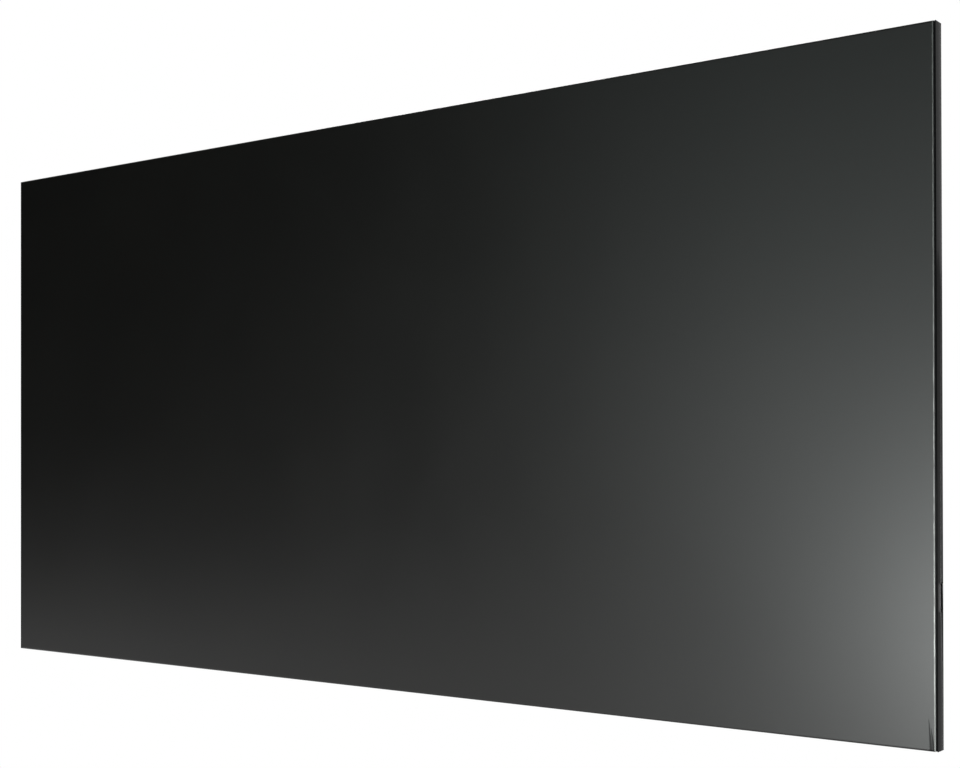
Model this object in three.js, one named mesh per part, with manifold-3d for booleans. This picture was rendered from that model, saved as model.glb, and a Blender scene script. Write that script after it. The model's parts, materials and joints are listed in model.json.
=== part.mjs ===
// Infrared panel heater: a flat radiant plate in a slim mitred frame, hung on a wall by two keyhole rails.
// Millimetres. +X is the panel's width to the viewer's right, +Y points into the wall and +Z is up.
// The origin is the middle of the upper hanging rail's wall face.
import * as THREE from "three";
import { mergeVertices } from "three/addons/utils/BufferGeometryUtils.js";
import Module from "manifold-3d";

const wasm = await Module();
wasm.setup();

// ---------------------------------------------------------------- driving dimensions

const seatGap = 0.3; // left between two faces that touch on the real object
const cutMargin = 1; // how far a cutting body runs past the face it cuts
const weldDistance = 1e-4; // vertices closer than this are one

// Facets round a full circle
const fastenerSides = 8;
const cableSides = 6;
const wireBoreSides = 10;
const drillSides = 12;
const glandSides = 16;
const roundSides = 20;

const panelWidth = 1200;
const panelHeight = 600;

// Frame: one extruded profile, cut to four lengths and mitred
const frameDepth = 14;
const frameWall = 1.2;
const chamberWidth = 9.6; // inside of the box section that takes the corner keys
const frameRearChamfer = 0.3;
const coverInset = 0.2; // the back cover lies this far inside the frame's rear edge

// Slot with round ends in the right rail's outer wall, level with the cable gland
const slotAboveBottom = 126;
const slotLength = 26;
const slotWidth = 4.2;
const slotFromRear = 1.6; // wall left between the slot and the rail's rear edge

// Front plate: a shallow sheet tray with a rolled edge
const plateThickness = 1;
const plateEdgeRadius = 1.6;
const plateCornerRadius = 0.6;
const plateFlange = 5; // depth of the turned-back edge
const shadowGap = 1; // open joint between the plate and the frame

// Corner keys and their grub screws
const keyLeg = 36;
const keyClearance = 0.3;
const keyLeadIn = 1.5; // chamfer on the end of each leg
const grubRadius = 2;
const grubLength = 3.4;
const grubSocket = 1; // hexagon socket, centre to corner
const grubFromCorner = 26;

// Heating cable, laid in rows against the back of the plate
const cableRadius = 1.2;
const rowPitch = 32;
const rowMargin = 28; // from the panel's edge to the outermost row
const columnRoom = 16; // kept free beside the rows' right turns for the two feed runs
const feedSpread = 5; // each feed run lies this far from the middle between its two rows
const feedRowsBelow = 2.5; // the feed runs lie this many row pitches above the lowest row
const feedBend = 9;
const feedLeft = 5; // the feed runs end this far left of the junction box's centre
const turnSteps = 6; // straight steps in a half turn
const bendSteps = 3; // and in a quarter turn

const foilThickness = 0.5;
const boardSideGap = 0.5; // between the insulation board and the frame
const rivetTailRoom = 1.7; // free space in front of the back cover

// Back cover: thin sheet with three pressed beads
const coverThickness = 0.8;
const coverSideGap = 0.4;
const beadRadius = 10;
const beadHeight = 1.6;
const beadTaper = 2;
const beadLength = 1000;
const outerBeadInset = 60; // outer beads, in from the panel's top and bottom edges

// Cover screws
const screwRadius = 1.5;
const screwHeadRadius = 2.9;
const screwHeadHeight = 1.6;
const screwTipRoom = 1.5; // from the tip to the chamber's front wall
const cornerScrewInset = 60; // outermost screws, from the panel's corner

// Hanging rails: top-hat section, feet riveted to the cover
const railStandOff = 22;
const railWeb = 40;
const railFoot = 14;
const railSheet = 1.5;
const railBend = 2.5;
const railLength = 760;
const railSpacing = 300;
const keyholeSpacing = 600;
const keyholeEntryRadius = 5.25;
const keyholeSlotWidth = 5;
const keyholeTravel = 12; // from the entry's centre up to the slot's centre

const rivetRadius = 1.6;
const rivetHeadRadius = 3.2;
const rivetHeadHeight = 1.1;
const rivetTailRadius = 2.4;
const rivetTailHeight = 1;
const rivetFromRailEnd = 25;

// Junction box on the back cover
const boxWidth = 84;
const boxHeight = 64;
const boxDepth = 16;
const boxWall = 2;
const boxFloor = 1.8;
const boxCorner = 5;
const boxFromEdge = 122; // from the panel's right edge to the box's centre
const bossRadius = 4;
const bossHoleDepth = 9;
const sealThickness = 0.7;
const lidThickness = 2;
const lidEdge = 0.5;
const lidScrewHeadHeight = 1.4;
const lidScrewLength = 9;
const leadHoleRadius = 9;
const leadHoleLeft = 20; // the lead hole, left of the box's centre
const leadHoleDown = 12; // and below it
const boxRivetOffsets = [
  [28, 20], // right of the box's centre, and above it
  [22, -24],
];

// Cable gland in the box's right wall
const glandThreadRadius = 6;
const glandBoreRadius = 3.5;
const glandAcrossFlats = 14;
const glandCollar = 5;
const glandThreadOut = 8;
const glandThreadIn = 8;
const glandCapLength = 13.5;
const glandDome = 3;
const glandLip = 1; // wall round the bore at the cap's end
const lockNutThickness = 4;

// Terminal block in the box
const blockWidth = 18;
const blockHeight = 10;
const blockLength = 26;
const blockRight = 12; // right of the box's centre
const poleSpacing = 8;
const wireBoreRadius = 1.6;
const wireBoreRise = 4.5; // above the block's underside
const wellRadius = 2;
const wellOffset = 5;

// Thermal cut-out on the back of the plate
const cutoutRadius = 8;
const cutoutHeight = 7;
const cutoutFlange = 1.2;
const cutoutCanRadius = 6.6;
const cutoutLeft = 34; // left of the junction box's centre
const tabWidth = 6;
const tabThickness = 0.8;
const tabRise = 3;
const tabSpacing = 8;

const leadRadius = 1;
const leadInsertion = 4; // how far each lead goes into the terminal block

const earthScrewRadius = 2;
const earthScrewHeadRadius = 3.6;
const earthScrewHeadHeight = 2.4;
const earthScrewLength = 4.2;
const earthScrewLeft = 28; // left of the box's centre
const earthScrewUp = 18; // and above it

// Window in the foil and the board, over the cut-out and the feed ends
const windowWidth = 46;
const windowHeight = 44;
const windowLeft = 23; // left of the box's centre

// ---------------------------------------------------------------- places worked out from the above
// Inside the panel's group, x and z are measured from the panel's centre and y back from its front plane.

const halfWidth = panelWidth / 2;
const halfHeight = panelHeight / 2;
const shelfFront = plateFlange + seatGap;
const chamberFront = shelfFront + frameWall;
const coverBack = frameDepth - coverInset;
const coverFront = coverBack - coverThickness;
const flangeBack = coverFront - seatGap;
const chamberBack = flangeBack - frameWall;
const chamberDepth = chamberBack - chamberFront;
const profileWidth = frameWall + chamberWidth + frameWall;
const flangeCentre = frameWall + chamberWidth / 2; // inward from the frame's outer face

const cableCentre = plateThickness + seatGap + cableRadius;
const foilFront = cableCentre + cableRadius + seatGap;
const boardFront = foilFront + foilThickness + seatGap;
const boardThickness = coverFront - rivetTailRoom - boardFront;
const boardWidth = panelWidth - 2 * (profileWidth + boardSideGap);
const boardHeight = panelHeight - 2 * (profileWidth + boardSideGap);

const onCover = coverBack + seatGap; // where what is fixed to the back cover starts
const railWallFace = onCover + railStandOff;

const boxX = halfWidth - boxFromEdge;
const boxZ = -halfHeight + slotAboveBottom;
const boxTop = onCover + boxDepth;
const boxInside = onCover + boxFloor;
const sealFront = boxTop + seatGap;
const lidFront = sealFront + sealThickness + seatGap;
const lidBack = lidFront + lidThickness;
const bossX = (boxWidth - boxWall) / 2 - bossRadius; // each boss runs half-way into the walls
const bossZ = (boxHeight - boxWall) / 2 - bossRadius;
const leadHoleX = boxX - leadHoleLeft;
const leadHoleZ = boxZ - leadHoleDown;
const glandAxisY = boxInside + seatGap + glandAcrossFlats / 2;
const boxRightFace = boxX + boxWidth / 2;
const outerBeadZ = halfHeight - outerBeadInset;

const feedZ = -halfHeight + rowMargin + feedRowsBelow * rowPitch;
const feedX = boxX - feedLeft;
const cutoutX = boxX - cutoutLeft;
const windowX = boxX - windowLeft;

const blockX = boxX + blockRight;
const blockFront = boxInside + seatGap;
const wireY = blockFront + wireBoreRise;
const earthX = boxX - earthScrewLeft;
const earthZ = boxZ + earthScrewUp;

// ---------------------------------------------------------------- finishes

function finish(color, roughness, metalness) {
  return new THREE.MeshStandardMaterial({ color, roughness, metalness });
}

const plateFinish = finish(0x131312, 0.35, 0);
const frameFinish = finish(0x161617, 0.35, 0);
const galvanised = finish(0x9a9fa1, 0.45, 0.85);
const zincPlated = finish(0xb6b8b5, 0.3, 1);
const aluminium = finish(0xc4c6c8, 0.35, 1);
const blackPlastic = finish(0x222324, 0.55, 0);
const sealRubber = finish(0x2a2a2a, 0.85, 0);
const ceramic = finish(0xe6e1d4, 0.4, 0);
const cableSheath = finish(0x8c3b2e, 0.6, 0);
const foilFinish = finish(0xd2d4d6, 0.22, 1);
const boardFibre = finish(0xd9d3c0, 0.95, 0);
const liveLead = finish(0x5a3a24, 0.5, 0);
const neutralLead = finish(0x2d5f9c, 0.5, 0);
const earthLead = finish(0x5f9a3a, 0.5, 0);

// ---------------------------------------------------------------- solid helpers

function toSolid(geometry) {
  const bare = geometry.clone();
  bare.deleteAttribute("normal");
  bare.deleteAttribute("uv");
  const merged = mergeVertices(bare, weldDistance);
  return new wasm.Manifold(
    new wasm.Mesh({
      numProp: 3,
      vertProperties: merged.attributes.position.array,
      triVerts: new Uint32Array(merged.index.array),
    }),
  );
}

function toGeometry(solid) {
  const mesh = solid.getMesh();
  const geometry = new THREE.BufferGeometry();
  geometry.setAttribute("position", new THREE.BufferAttribute(mesh.vertProperties, 3));
  geometry.setIndex(new THREE.BufferAttribute(mesh.triVerts, 1));
  geometry.computeVertexNormals();
  return geometry;
}

function cut(geometry, ...tools) {
  return toGeometry(tools.reduce((solid, tool) => solid.subtract(toSolid(tool)), toSolid(geometry)));
}

function join(geometry, ...others) {
  return toGeometry(others.reduce((solid, other) => solid.add(toSolid(other)), toSolid(geometry)));
}

// A closed outline through [x, y, bend] corners, where each bend is the size of the rounding.
function bentOutline(corners) {
  const shape = new THREE.Shape();
  corners.forEach(([x, y, bend = 0], i) => {
    const corner = new THREE.Vector2(x, y);
    const before = new THREE.Vector2(...corners.at(i - 1).slice(0, 2));
    const after = new THREE.Vector2(...corners[(i + 1) % corners.length].slice(0, 2));
    const start = corner.clone().add(before.sub(corner).setLength(bend));
    const end = corner.clone().add(after.sub(corner).setLength(bend));
    if (i === 0) shape.moveTo(start.x, start.y);
    else shape.lineTo(start.x, start.y);
    if (bend > 0) shape.quadraticCurveTo(x, y, end.x, end.y);
  });
  shape.closePath();
  return shape;
}

function roundedRectangle(width, height, bend) {
  const x = width / 2;
  const y = height / 2;
  return bentOutline([
    [-x, -y, bend],
    [x, -y, bend],
    [x, y, bend],
    [-x, y, bend],
  ]);
}

// A bar's outline along x, with half-round ends.
function roundEnded(length, radius) {
  const straight = length / 2 - radius;
  const shape = new THREE.Shape();
  shape.absarc(straight, 0, radius, -Math.PI / 2, Math.PI / 2);
  shape.absarc(-straight, 0, radius, Math.PI / 2, (3 * Math.PI) / 2);
  return shape;
}

function regularPolygon(radius, sides, turn = 0) {
  const points = Array.from({ length: sides }, (_, i) => {
    const angle = turn + (2 * Math.PI * i) / sides;
    return new THREE.Vector2(radius * Math.cos(angle), radius * Math.sin(angle));
  });
  return new THREE.Shape(points);
}

// An outline in x and z, given thickness along y.
function slab(shape, front, thickness, curveSegments = 3) {
  return new THREE.ExtrudeGeometry(shape, { depth: thickness, bevelEnabled: false, curveSegments })
    .rotateX(Math.PI / 2)
    .translate(0, front + thickness, 0);
}

function block(width, depth, height, x, y, z) {
  return new THREE.BoxGeometry(width, depth, height).translate(x, y, z);
}

// A round bar or drill along y, from one depth to another.
function barY(radius, from, to, x = 0, z = 0, sides = drillSides) {
  return new THREE.CylinderGeometry(radius, radius, to - from, sides).translate(x, (from + to) / 2, z);
}

// A round bar or drill along x.
function barX(radius, from, to, y = 0, z = 0, sides = glandSides) {
  return new THREE.CylinderGeometry(radius, radius, to - from, sides)
    .rotateZ(Math.PI / 2)
    .translate((from + to) / 2, y, z);
}

// A hexagon along x, with flats that face +Y and -Y.
function hexagonX(acrossFlats, from, to, y, z) {
  const shape = regularPolygon(acrossFlats / Math.sqrt(3), 6);
  return new THREE.ExtrudeGeometry(shape, { depth: to - from, bevelEnabled: false })
    .rotateZ(Math.PI / 2)
    .rotateY(Math.PI / 2)
    .rotateX(Math.PI / 2)
    .translate(from, y, z);
}

// A path through given stations, so that straight runs take one step and bends take several.
class StationPath extends THREE.Curve {
  constructor(stations) {
    super();
    this.stations = stations;
  }

  getPoint(t, target = new THREE.Vector3()) {
    const place = t * (this.stations.length - 1);
    const index = Math.min(Math.floor(place + 1e-9), this.stations.length - 2);
    return target.lerpVectors(this.stations[index], this.stations[index + 1], place - index);
  }

  getPointAt(u, target) {
    return this.getPoint(u, target);
  }

  getTangentAt(u, target = new THREE.Vector3()) {
    const last = this.stations.length - 1;
    const index = Math.round(u * last);
    const here = this.stations[index];
    const back = this.stations[Math.max(index - 1, 0)];
    const ahead = this.stations[Math.min(index + 1, last)];
    const arriving = here.clone().sub(back).normalize();
    const leaving = ahead.clone().sub(here).normalize();
    return target.copy(arriving).add(leaving).normalize();
  }
}

function tube(stations, radius, sides) {
  const path = new StationPath(stations);
  return new THREE.ExtrudeGeometry(regularPolygon(radius, sides), {
    steps: stations.length - 1,
    extrudePath: path,
  });
}

// ---------------------------------------------------------------- the pieces

const heater = new THREE.Group();
const panel = new THREE.Group();
panel.position.set(0, -railWallFace, -railSpacing / 2);
heater.add(panel);

function piece(name, geometry, material, parent = panel) {
  const mesh = new THREE.Mesh(geometry, material);
  mesh.name = name;
  parent.add(mesh);
  return mesh;
}

// A tray whose front edge is rolled to a radius, open at the back.
function rolledTray(width, height, edgeRadius, front, back) {
  const flat = roundedRectangle(width - 2 * edgeRadius, height - 2 * edgeRadius, plateCornerRadius);
  const length = back - front;
  const rolled = new THREE.ExtrudeGeometry(flat, {
    depth: length,
    bevelThickness: edgeRadius,
    bevelSize: edgeRadius,
    bevelSegments: 4,
    curveSegments: 2,
  })
    .rotateX(Math.PI / 2)
    .translate(0, front + edgeRadius + length, 0);
  const behind = block(width + 2 * cutMargin, length, height + 2 * cutMargin, 0, back + length / 2, 0);
  return cut(rolled, behind);
}

function makeFrontPlate() {
  const inset = 2 * (frameWall + shadowGap);
  const width = panelWidth - inset;
  const height = panelHeight - inset;
  const outside = rolledTray(width, height, plateEdgeRadius, 0, plateFlange);
  const insideRadius = plateEdgeRadius - plateThickness;
  const inside = rolledTray(
    width - 2 * plateThickness,
    height - 2 * plateThickness,
    insideRadius,
    plateThickness,
    plateFlange + cutMargin,
  );
  return piece("front_plate", cut(outside, inside), plateFinish);
}

// The profile: x runs inward from the frame's outer face, y back from its front edge.
function frameProfile() {
  const nose = frameWall / 2; // the front edge is fully rounded
  const profile = bentOutline([
    [0, 0, nose],
    [frameWall, 0, nose],
    [frameWall, shelfFront],
    [profileWidth, shelfFront],
    [profileWidth, flangeBack],
    [frameWall, flangeBack],
    [frameWall, frameDepth],
    [frameRearChamfer, frameDepth],
    [0, frameDepth - frameRearChamfer],
  ]);
  const chamber = new THREE.Path();
  chamber.moveTo(frameWall, chamberFront);
  chamber.lineTo(frameWall, chamberBack);
  chamber.lineTo(frameWall + chamberWidth, chamberBack);
  chamber.lineTo(frameWall + chamberWidth, chamberFront);
  chamber.closePath();
  profile.holes.push(chamber);
  return profile;
}

// A length of profile along x, with its outer face at z = 0 and each end cut back along the mitre.
function mitredRail(length) {
  const rail = new THREE.ExtrudeGeometry(frameProfile(), {
    depth: length,
    bevelEnabled: false,
    curveSegments: 4,
  });
  const position = rail.getAttribute("position");
  for (let i = 0; i < position.count; i++) {
    const cutBack = position.getX(i) + seatGap / 2;
    position.setZ(i, position.getZ(i) < length / 2 ? cutBack : length - cutBack);
  }
  return rail.rotateY(Math.PI / 2).translate(-length / 2, 0, 0);
}

// Holes in a rail's rear flange: for the cover screws, and for the key that turns each grub screw.
function flangeHoles(length, screwPlaces) {
  const grubPlaces = [-1, 1].map((side) => side * (length / 2 - grubFromCorner));
  const drill = (radius) => (x) =>
    barY(radius, chamberBack - cutMargin, flangeBack + cutMargin, x, -flangeCentre);
  return [
    ...screwPlaces.map(drill(screwRadius + seatGap)),
    ...grubPlaces.map(drill(grubRadius + seatGap)),
  ];
}

// A slot through a rail's outer wall, just into its chamber.
function wallSlot(x) {
  const reach = frameWall + seatGap;
  return new THREE.ExtrudeGeometry(roundEnded(slotLength, slotWidth / 2), {
    depth: reach + cutMargin,
    bevelEnabled: false,
    curveSegments: 6,
  }).translate(x, frameDepth - slotFromRear - slotWidth / 2, -reach);
}

const longScrewPlaces = [-1, -1 / 3, 1 / 3, 1].map((share) => share * (halfWidth - cornerScrewInset));
const shortScrewPlaces = [0];
const coverScrewPlaces = [
  ...longScrewPlaces.map((x) => [x, halfHeight - flangeCentre]),
  ...longScrewPlaces.map((x) => [x, -halfHeight + flangeCentre]),
  [-halfWidth + flangeCentre, 0],
  [halfWidth - flangeCentre, 0],
];

// Each side turns the rail so that its outer face looks away from the panel's centre.
const frameSides = [
  { name: "top", length: panelWidth, reach: halfHeight, turn: 0, screws: longScrewPlaces },
  { name: "right", length: panelHeight, reach: halfWidth, turn: Math.PI / 2, screws: shortScrewPlaces },
  { name: "bottom", length: panelWidth, reach: halfHeight, turn: Math.PI, screws: longScrewPlaces },
  { name: "left", length: panelHeight, reach: halfWidth, turn: -Math.PI / 2, screws: shortScrewPlaces },
];

function makeFrame() {
  for (const { name, length, reach, turn, screws } of frameSides) {
    const tools = flangeHoles(length, screws);
    if (name === "right") tools.push(wallSlot(-boxZ));
    const rail = piece("frame_" + name, cut(mitredRail(length), ...tools), frameFinish);
    rail.rotation.y = turn;
    rail.position.set(reach * Math.sin(turn), 0, reach * Math.cos(turn));
  }
}

// A pan-head screw along y: its head starts at 0 and stands towards +y, its shank points to -y.
function panScrew(radius, headRadius, headHeight, length) {
  const tip = radius * 0.6; // radius of the tip's end, and length of its taper
  const shoulder = headHeight * 0.55; // upright side of the head
  const crown = headRadius * 0.6; // flat top of the head
  const profile = [
    [0, -length],
    [tip, -length],
    [radius, -length + tip],
    [radius, 0],
    [headRadius, 0],
    [headRadius, shoulder],
    [crown, headHeight],
    [0, headHeight],
  ];
  return new THREE.LatheGeometry(profile.map(([x, y]) => new THREE.Vector2(x, y)), fastenerSides);
}

// A blind rivet along y, set through a stack of the given thickness: domed head, shank and upset tail.
function blindRivet(grip) {
  const under = -grip - 2 * seatGap;
  const tailEnd = rivetTailRadius * 0.7;
  const domeShare = 0.75; // the dome's one bend, as a share of the head's radius and height
  const profile = [
    [0, under - rivetTailHeight],
    [tailEnd, under - rivetTailHeight],
    [rivetTailRadius, under - rivetTailHeight / 2],
    [rivetTailRadius, under],
    [rivetRadius, under],
    [rivetRadius, 0],
    [rivetHeadRadius, 0],
    [rivetHeadRadius * domeShare, rivetHeadHeight * domeShare],
    [0, rivetHeadHeight],
  ];
  return new THREE.LatheGeometry(profile.map(([x, y]) => new THREE.Vector2(x, y)), fastenerSides);
}

// An L of square bar with its outer corner at the origin, legs along -x and -z, drilled for its grub screws.
function cornerKeyGeometry() {
  const width = chamberWidth - 2 * keyClearance;
  const near = frameWall + keyClearance;
  const far = near + width;
  const outline = bentOutline([
    [-near, -near],
    [-near, -keyLeg + keyLeadIn],
    [-near - keyLeadIn, -keyLeg],
    [-far + keyLeadIn, -keyLeg],
    [-far, -keyLeg + keyLeadIn],
    [-far, -far],
    [-keyLeg + keyLeadIn, -far],
    [-keyLeg, -far + keyLeadIn],
    [-keyLeg, -near - keyLeadIn],
    [-keyLeg + keyLeadIn, -near],
  ]);
  const front = chamberFront + keyClearance;
  const thickness = chamberDepth - 2 * keyClearance;
  const drill = (x, z) =>
    barY(grubRadius + seatGap, front - cutMargin, front + thickness + cutMargin, x, z);
  return cut(
    slab(outline, front, thickness),
    drill(-grubFromCorner, -flangeCentre),
    drill(-flangeCentre, -grubFromCorner),
  );
}

function grubScrewGeometry() {
  const front = chamberFront + keyClearance;
  const back = front + grubLength;
  const socket = barY(grubSocket, back - grubLength / 2, back + cutMargin, 0, 0, 6);
  return cut(barY(grubRadius, front, back), socket);
}

// The four corners in turn, each a quarter turn on from the one before.
function makeCorners() {
  const corners = [
    { name: "top_right", x: halfWidth, z: halfHeight, turn: 0 },
    { name: "bottom_right", x: halfWidth, z: -halfHeight, turn: Math.PI / 2 },
    { name: "bottom_left", x: -halfWidth, z: -halfHeight, turn: Math.PI },
    { name: "top_left", x: -halfWidth, z: halfHeight, turn: -Math.PI / 2 },
  ];
  for (const { name, x, z, turn } of corners) {
    const corner = new THREE.Group();
    corner.position.set(x, 0, z);
    corner.rotation.y = turn;
    panel.add(corner);
    piece("corner_key_" + name, cornerKeyGeometry(), aluminium, corner);
    const places = [
      [-grubFromCorner, -flangeCentre],
      [-flangeCentre, -grubFromCorner],
    ];
    places.forEach(([alongX, alongZ], i) => {
      const grub = piece(`grub_screw_${name}_${i + 1}`, grubScrewGeometry(), zincPlated, corner);
      grub.position.set(alongX, 0, alongZ);
    });
  }
}

// The heating cable: up the right-hand column, down through the rows, and back to the feed point.
function heatingCableStations() {
  const turnRadius = rowPitch / 2;
  const lowest = -halfHeight + rowMargin;
  const pairs = Math.floor((panelHeight - 2 * rowMargin + rowPitch) / (2 * rowPitch));
  const rows = 2 * pairs;
  const columnX = halfWidth - rowMargin;
  const leftTurn = -halfWidth + rowMargin + turnRadius;
  const rightTurn = columnX - columnRoom - turnRadius;
  const rowZ = (row) => lowest + row * rowPitch;
  const stations = [];
  const at = (x, z) => stations.push(new THREE.Vector3(x, cableCentre, z));
  const arc = (x, z, radius, from, to, steps) => {
    for (let i = 0; i <= steps; i++) {
      const angle = from + ((to - from) * i) / steps;
      at(x + radius * Math.cos(angle), z + radius * Math.sin(angle));
    }
  };
  const quarter = Math.PI / 2;
  const bend = (z, from, to) => arc(columnX - feedBend, z, feedBend, from, to, bendSteps);
  at(feedX, feedZ + feedSpread);
  bend(feedZ + feedSpread + feedBend, -quarter, 0);
  bend(rowZ(rows - 1) - feedBend, 0, quarter);
  for (let row = rows - 1; row > 0; row--) {
    const towardsLeft = (rows - 1 - row) % 2 === 0;
    const centreX = towardsLeft ? leftTurn : rightTurn;
    const sweep = towardsLeft ? Math.PI : -Math.PI;
    arc(centreX, rowZ(row) - turnRadius, turnRadius, quarter, quarter + sweep, turnSteps);
  }
  bend(lowest + feedBend, -quarter, 0);
  bend(feedZ - feedSpread - feedBend, 0, quarter);
  at(feedX, feedZ - feedSpread);
  return stations;
}

function makeHeatingLayers() {
  piece("heating_cable", tube(heatingCableStations(), cableRadius, cableSides), cableSheath);
  const window = (front, thickness) =>
    block(windowWidth, thickness + 2 * cutMargin, windowHeight, windowX, front + thickness / 2, feedZ);
  const sheet = (front, thickness) =>
    cut(slab(roundedRectangle(boardWidth, boardHeight, 0), front, thickness), window(front, thickness));
  piece("reflector_foil", sheet(foilFront, foilThickness), foilFinish);
  piece("insulation_board", sheet(boardFront, boardThickness), boardFibre);
}

// A body with a long round-ended outline that narrows from its base to its top.
function taperedBar(length, baseRadius, topRadius, front, back, z) {
  const straight = length / 2 - baseRadius;
  const bar = slab(roundEnded(length, baseRadius), front, back - front, 4);
  const position = bar.getAttribute("position");
  const middle = (front + back) / 2;
  for (let i = 0; i < position.count; i++) {
    if (position.getY(i) < middle) continue;
    const spineX = THREE.MathUtils.clamp(position.getX(i), -straight, straight);
    const share = topRadius / baseRadius;
    position.setX(i, spineX + (position.getX(i) - spineX) * share);
    position.setZ(i, position.getZ(i) * share);
  }
  return bar.translate(0, 0, z);
}

const rivetPlacesOnRail = [-1, 1].flatMap((side) =>
  [-1, 1].map((foot) => [
    side * (railLength / 2 - rivetFromRailEnd),
    foot * (railWeb / 2 + railFoot / 2),
  ]),
);
const railLevels = [
  { name: "upper", z: railSpacing / 2 },
  { name: "lower", z: -railSpacing / 2 },
];
const boxRivetPlaces = boxRivetOffsets.map(([right, up]) => [boxX + right, boxZ + up]);

function makeBackCover() {
  const width = panelWidth - 2 * (frameWall + coverSideGap);
  const height = panelHeight - 2 * (frameWall + coverSideGap);
  let cover = slab(roundedRectangle(width, height, 0), coverFront, coverThickness);
  for (const z of [-outerBeadZ, 0, outerBeadZ]) {
    const back = coverBack + beadHeight;
    const top = beadRadius - beadTaper;
    const raised = taperedBar(beadLength, beadRadius, top, coverFront + coverThickness / 2, back, z);
    const hollow = taperedBar(
      beadLength - 2 * coverThickness,
      beadRadius - coverThickness,
      top - coverThickness,
      coverFront - cutMargin,
      back - coverThickness,
      z,
    );
    cover = cut(join(cover, raised), hollow);
  }
  const drill = (radius, x, z) => barY(radius, coverFront - cutMargin, coverBack + cutMargin, x, z);
  const rivetHoles = railLevels.flatMap((level) =>
    rivetPlacesOnRail.map(([x, z]) => drill(rivetRadius + seatGap, x, z + level.z)),
  );
  const boxHoles = boxRivetPlaces.map(([x, z]) => drill(rivetRadius + seatGap, x, z));
  cover = cut(
    cover,
    ...coverScrewPlaces.map(([x, z]) => drill(screwRadius + seatGap, x, z)),
    ...rivetHoles,
    ...boxHoles,
    drill(earthScrewRadius + seatGap, earthX, earthZ),
    drill(leadHoleRadius, leadHoleX, leadHoleZ),
  );
  piece("back_cover", cover, galvanised);
}

function makeCoverScrews() {
  const length = onCover - chamberFront - screwTipRoom;
  coverScrewPlaces.forEach(([x, z], i) => {
    const geometry = panScrew(screwRadius, screwHeadRadius, screwHeadHeight, length);
    piece(`cover_screw_${i + 1}`, geometry, zincPlated).position.set(x, onCover, z);
  });
}

// Top-hat rail along x: feet at y = 0, wall face at y = railStandOff.
function hatRailGeometry() {
  const outer = railWeb / 2;
  const inner = outer - railSheet;
  const tip = outer + railFoot;
  const inBend = railBend - railSheet;
  const section = bentOutline([
    [tip, 0],
    [tip, railSheet],
    [outer, railSheet, inBend],
    [outer, railStandOff, railBend],
    [-outer, railStandOff, railBend],
    [-outer, railSheet, inBend],
    [-tip, railSheet],
    [-tip, 0],
    [-inner, 0, railBend],
    [-inner, railStandOff - railSheet, inBend],
    [inner, railStandOff - railSheet, inBend],
    [inner, 0, railBend],
  ]);
  const rail = new THREE.ExtrudeGeometry(section, {
    depth: railLength,
    bevelEnabled: false,
    curveSegments: 3,
  })
    .rotateY(Math.PI / 2)
    .translate(-railLength / 2, 0, 0);
  const webFrom = railStandOff - railSheet - cutMargin;
  const webTo = railStandOff + cutMargin;
  const keyholes = [-1, 1].flatMap((side) => {
    const x = (side * keyholeSpacing) / 2;
    const slotMiddle = keyholeTravel / 2;
    return [
      barY(keyholeEntryRadius, webFrom, webTo, x, -slotMiddle, roundSides),
      barY(keyholeSlotWidth / 2, webFrom, webTo, x, slotMiddle),
      block(keyholeSlotWidth, webTo - webFrom, keyholeTravel, x, (webFrom + webTo) / 2, 0),
    ];
  });
  const rivetHoles = rivetPlacesOnRail.map(([x, z]) =>
    barY(rivetRadius + seatGap, -cutMargin, railSheet + cutMargin, x, z),
  );
  return cut(rail, ...keyholes, ...rivetHoles);
}

function makeHangingRails() {
  const grip = railSheet + seatGap + coverThickness;
  for (const level of railLevels) {
    const rail = piece("hanging_rail_" + level.name, hatRailGeometry(), galvanised);
    rail.position.set(0, onCover, level.z);
    rivetPlacesOnRail.forEach(([x, z], i) => {
      const rivet = piece(`rail_rivet_${level.name}_${i + 1}`, blindRivet(grip), aluminium);
      rivet.position.set(x, onCover + railSheet + seatGap, level.z + z);
    });
  }
}

// Lid screw bosses stand in two opposite corners of the box.
const bossPlaces = [
  [boxX - bossX, boxZ + bossZ],
  [boxX + bossX, boxZ - bossZ],
];

function boxOutline(inset) {
  return roundedRectangle(boxWidth - 2 * inset, boxHeight - 2 * inset, boxCorner - inset);
}

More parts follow.
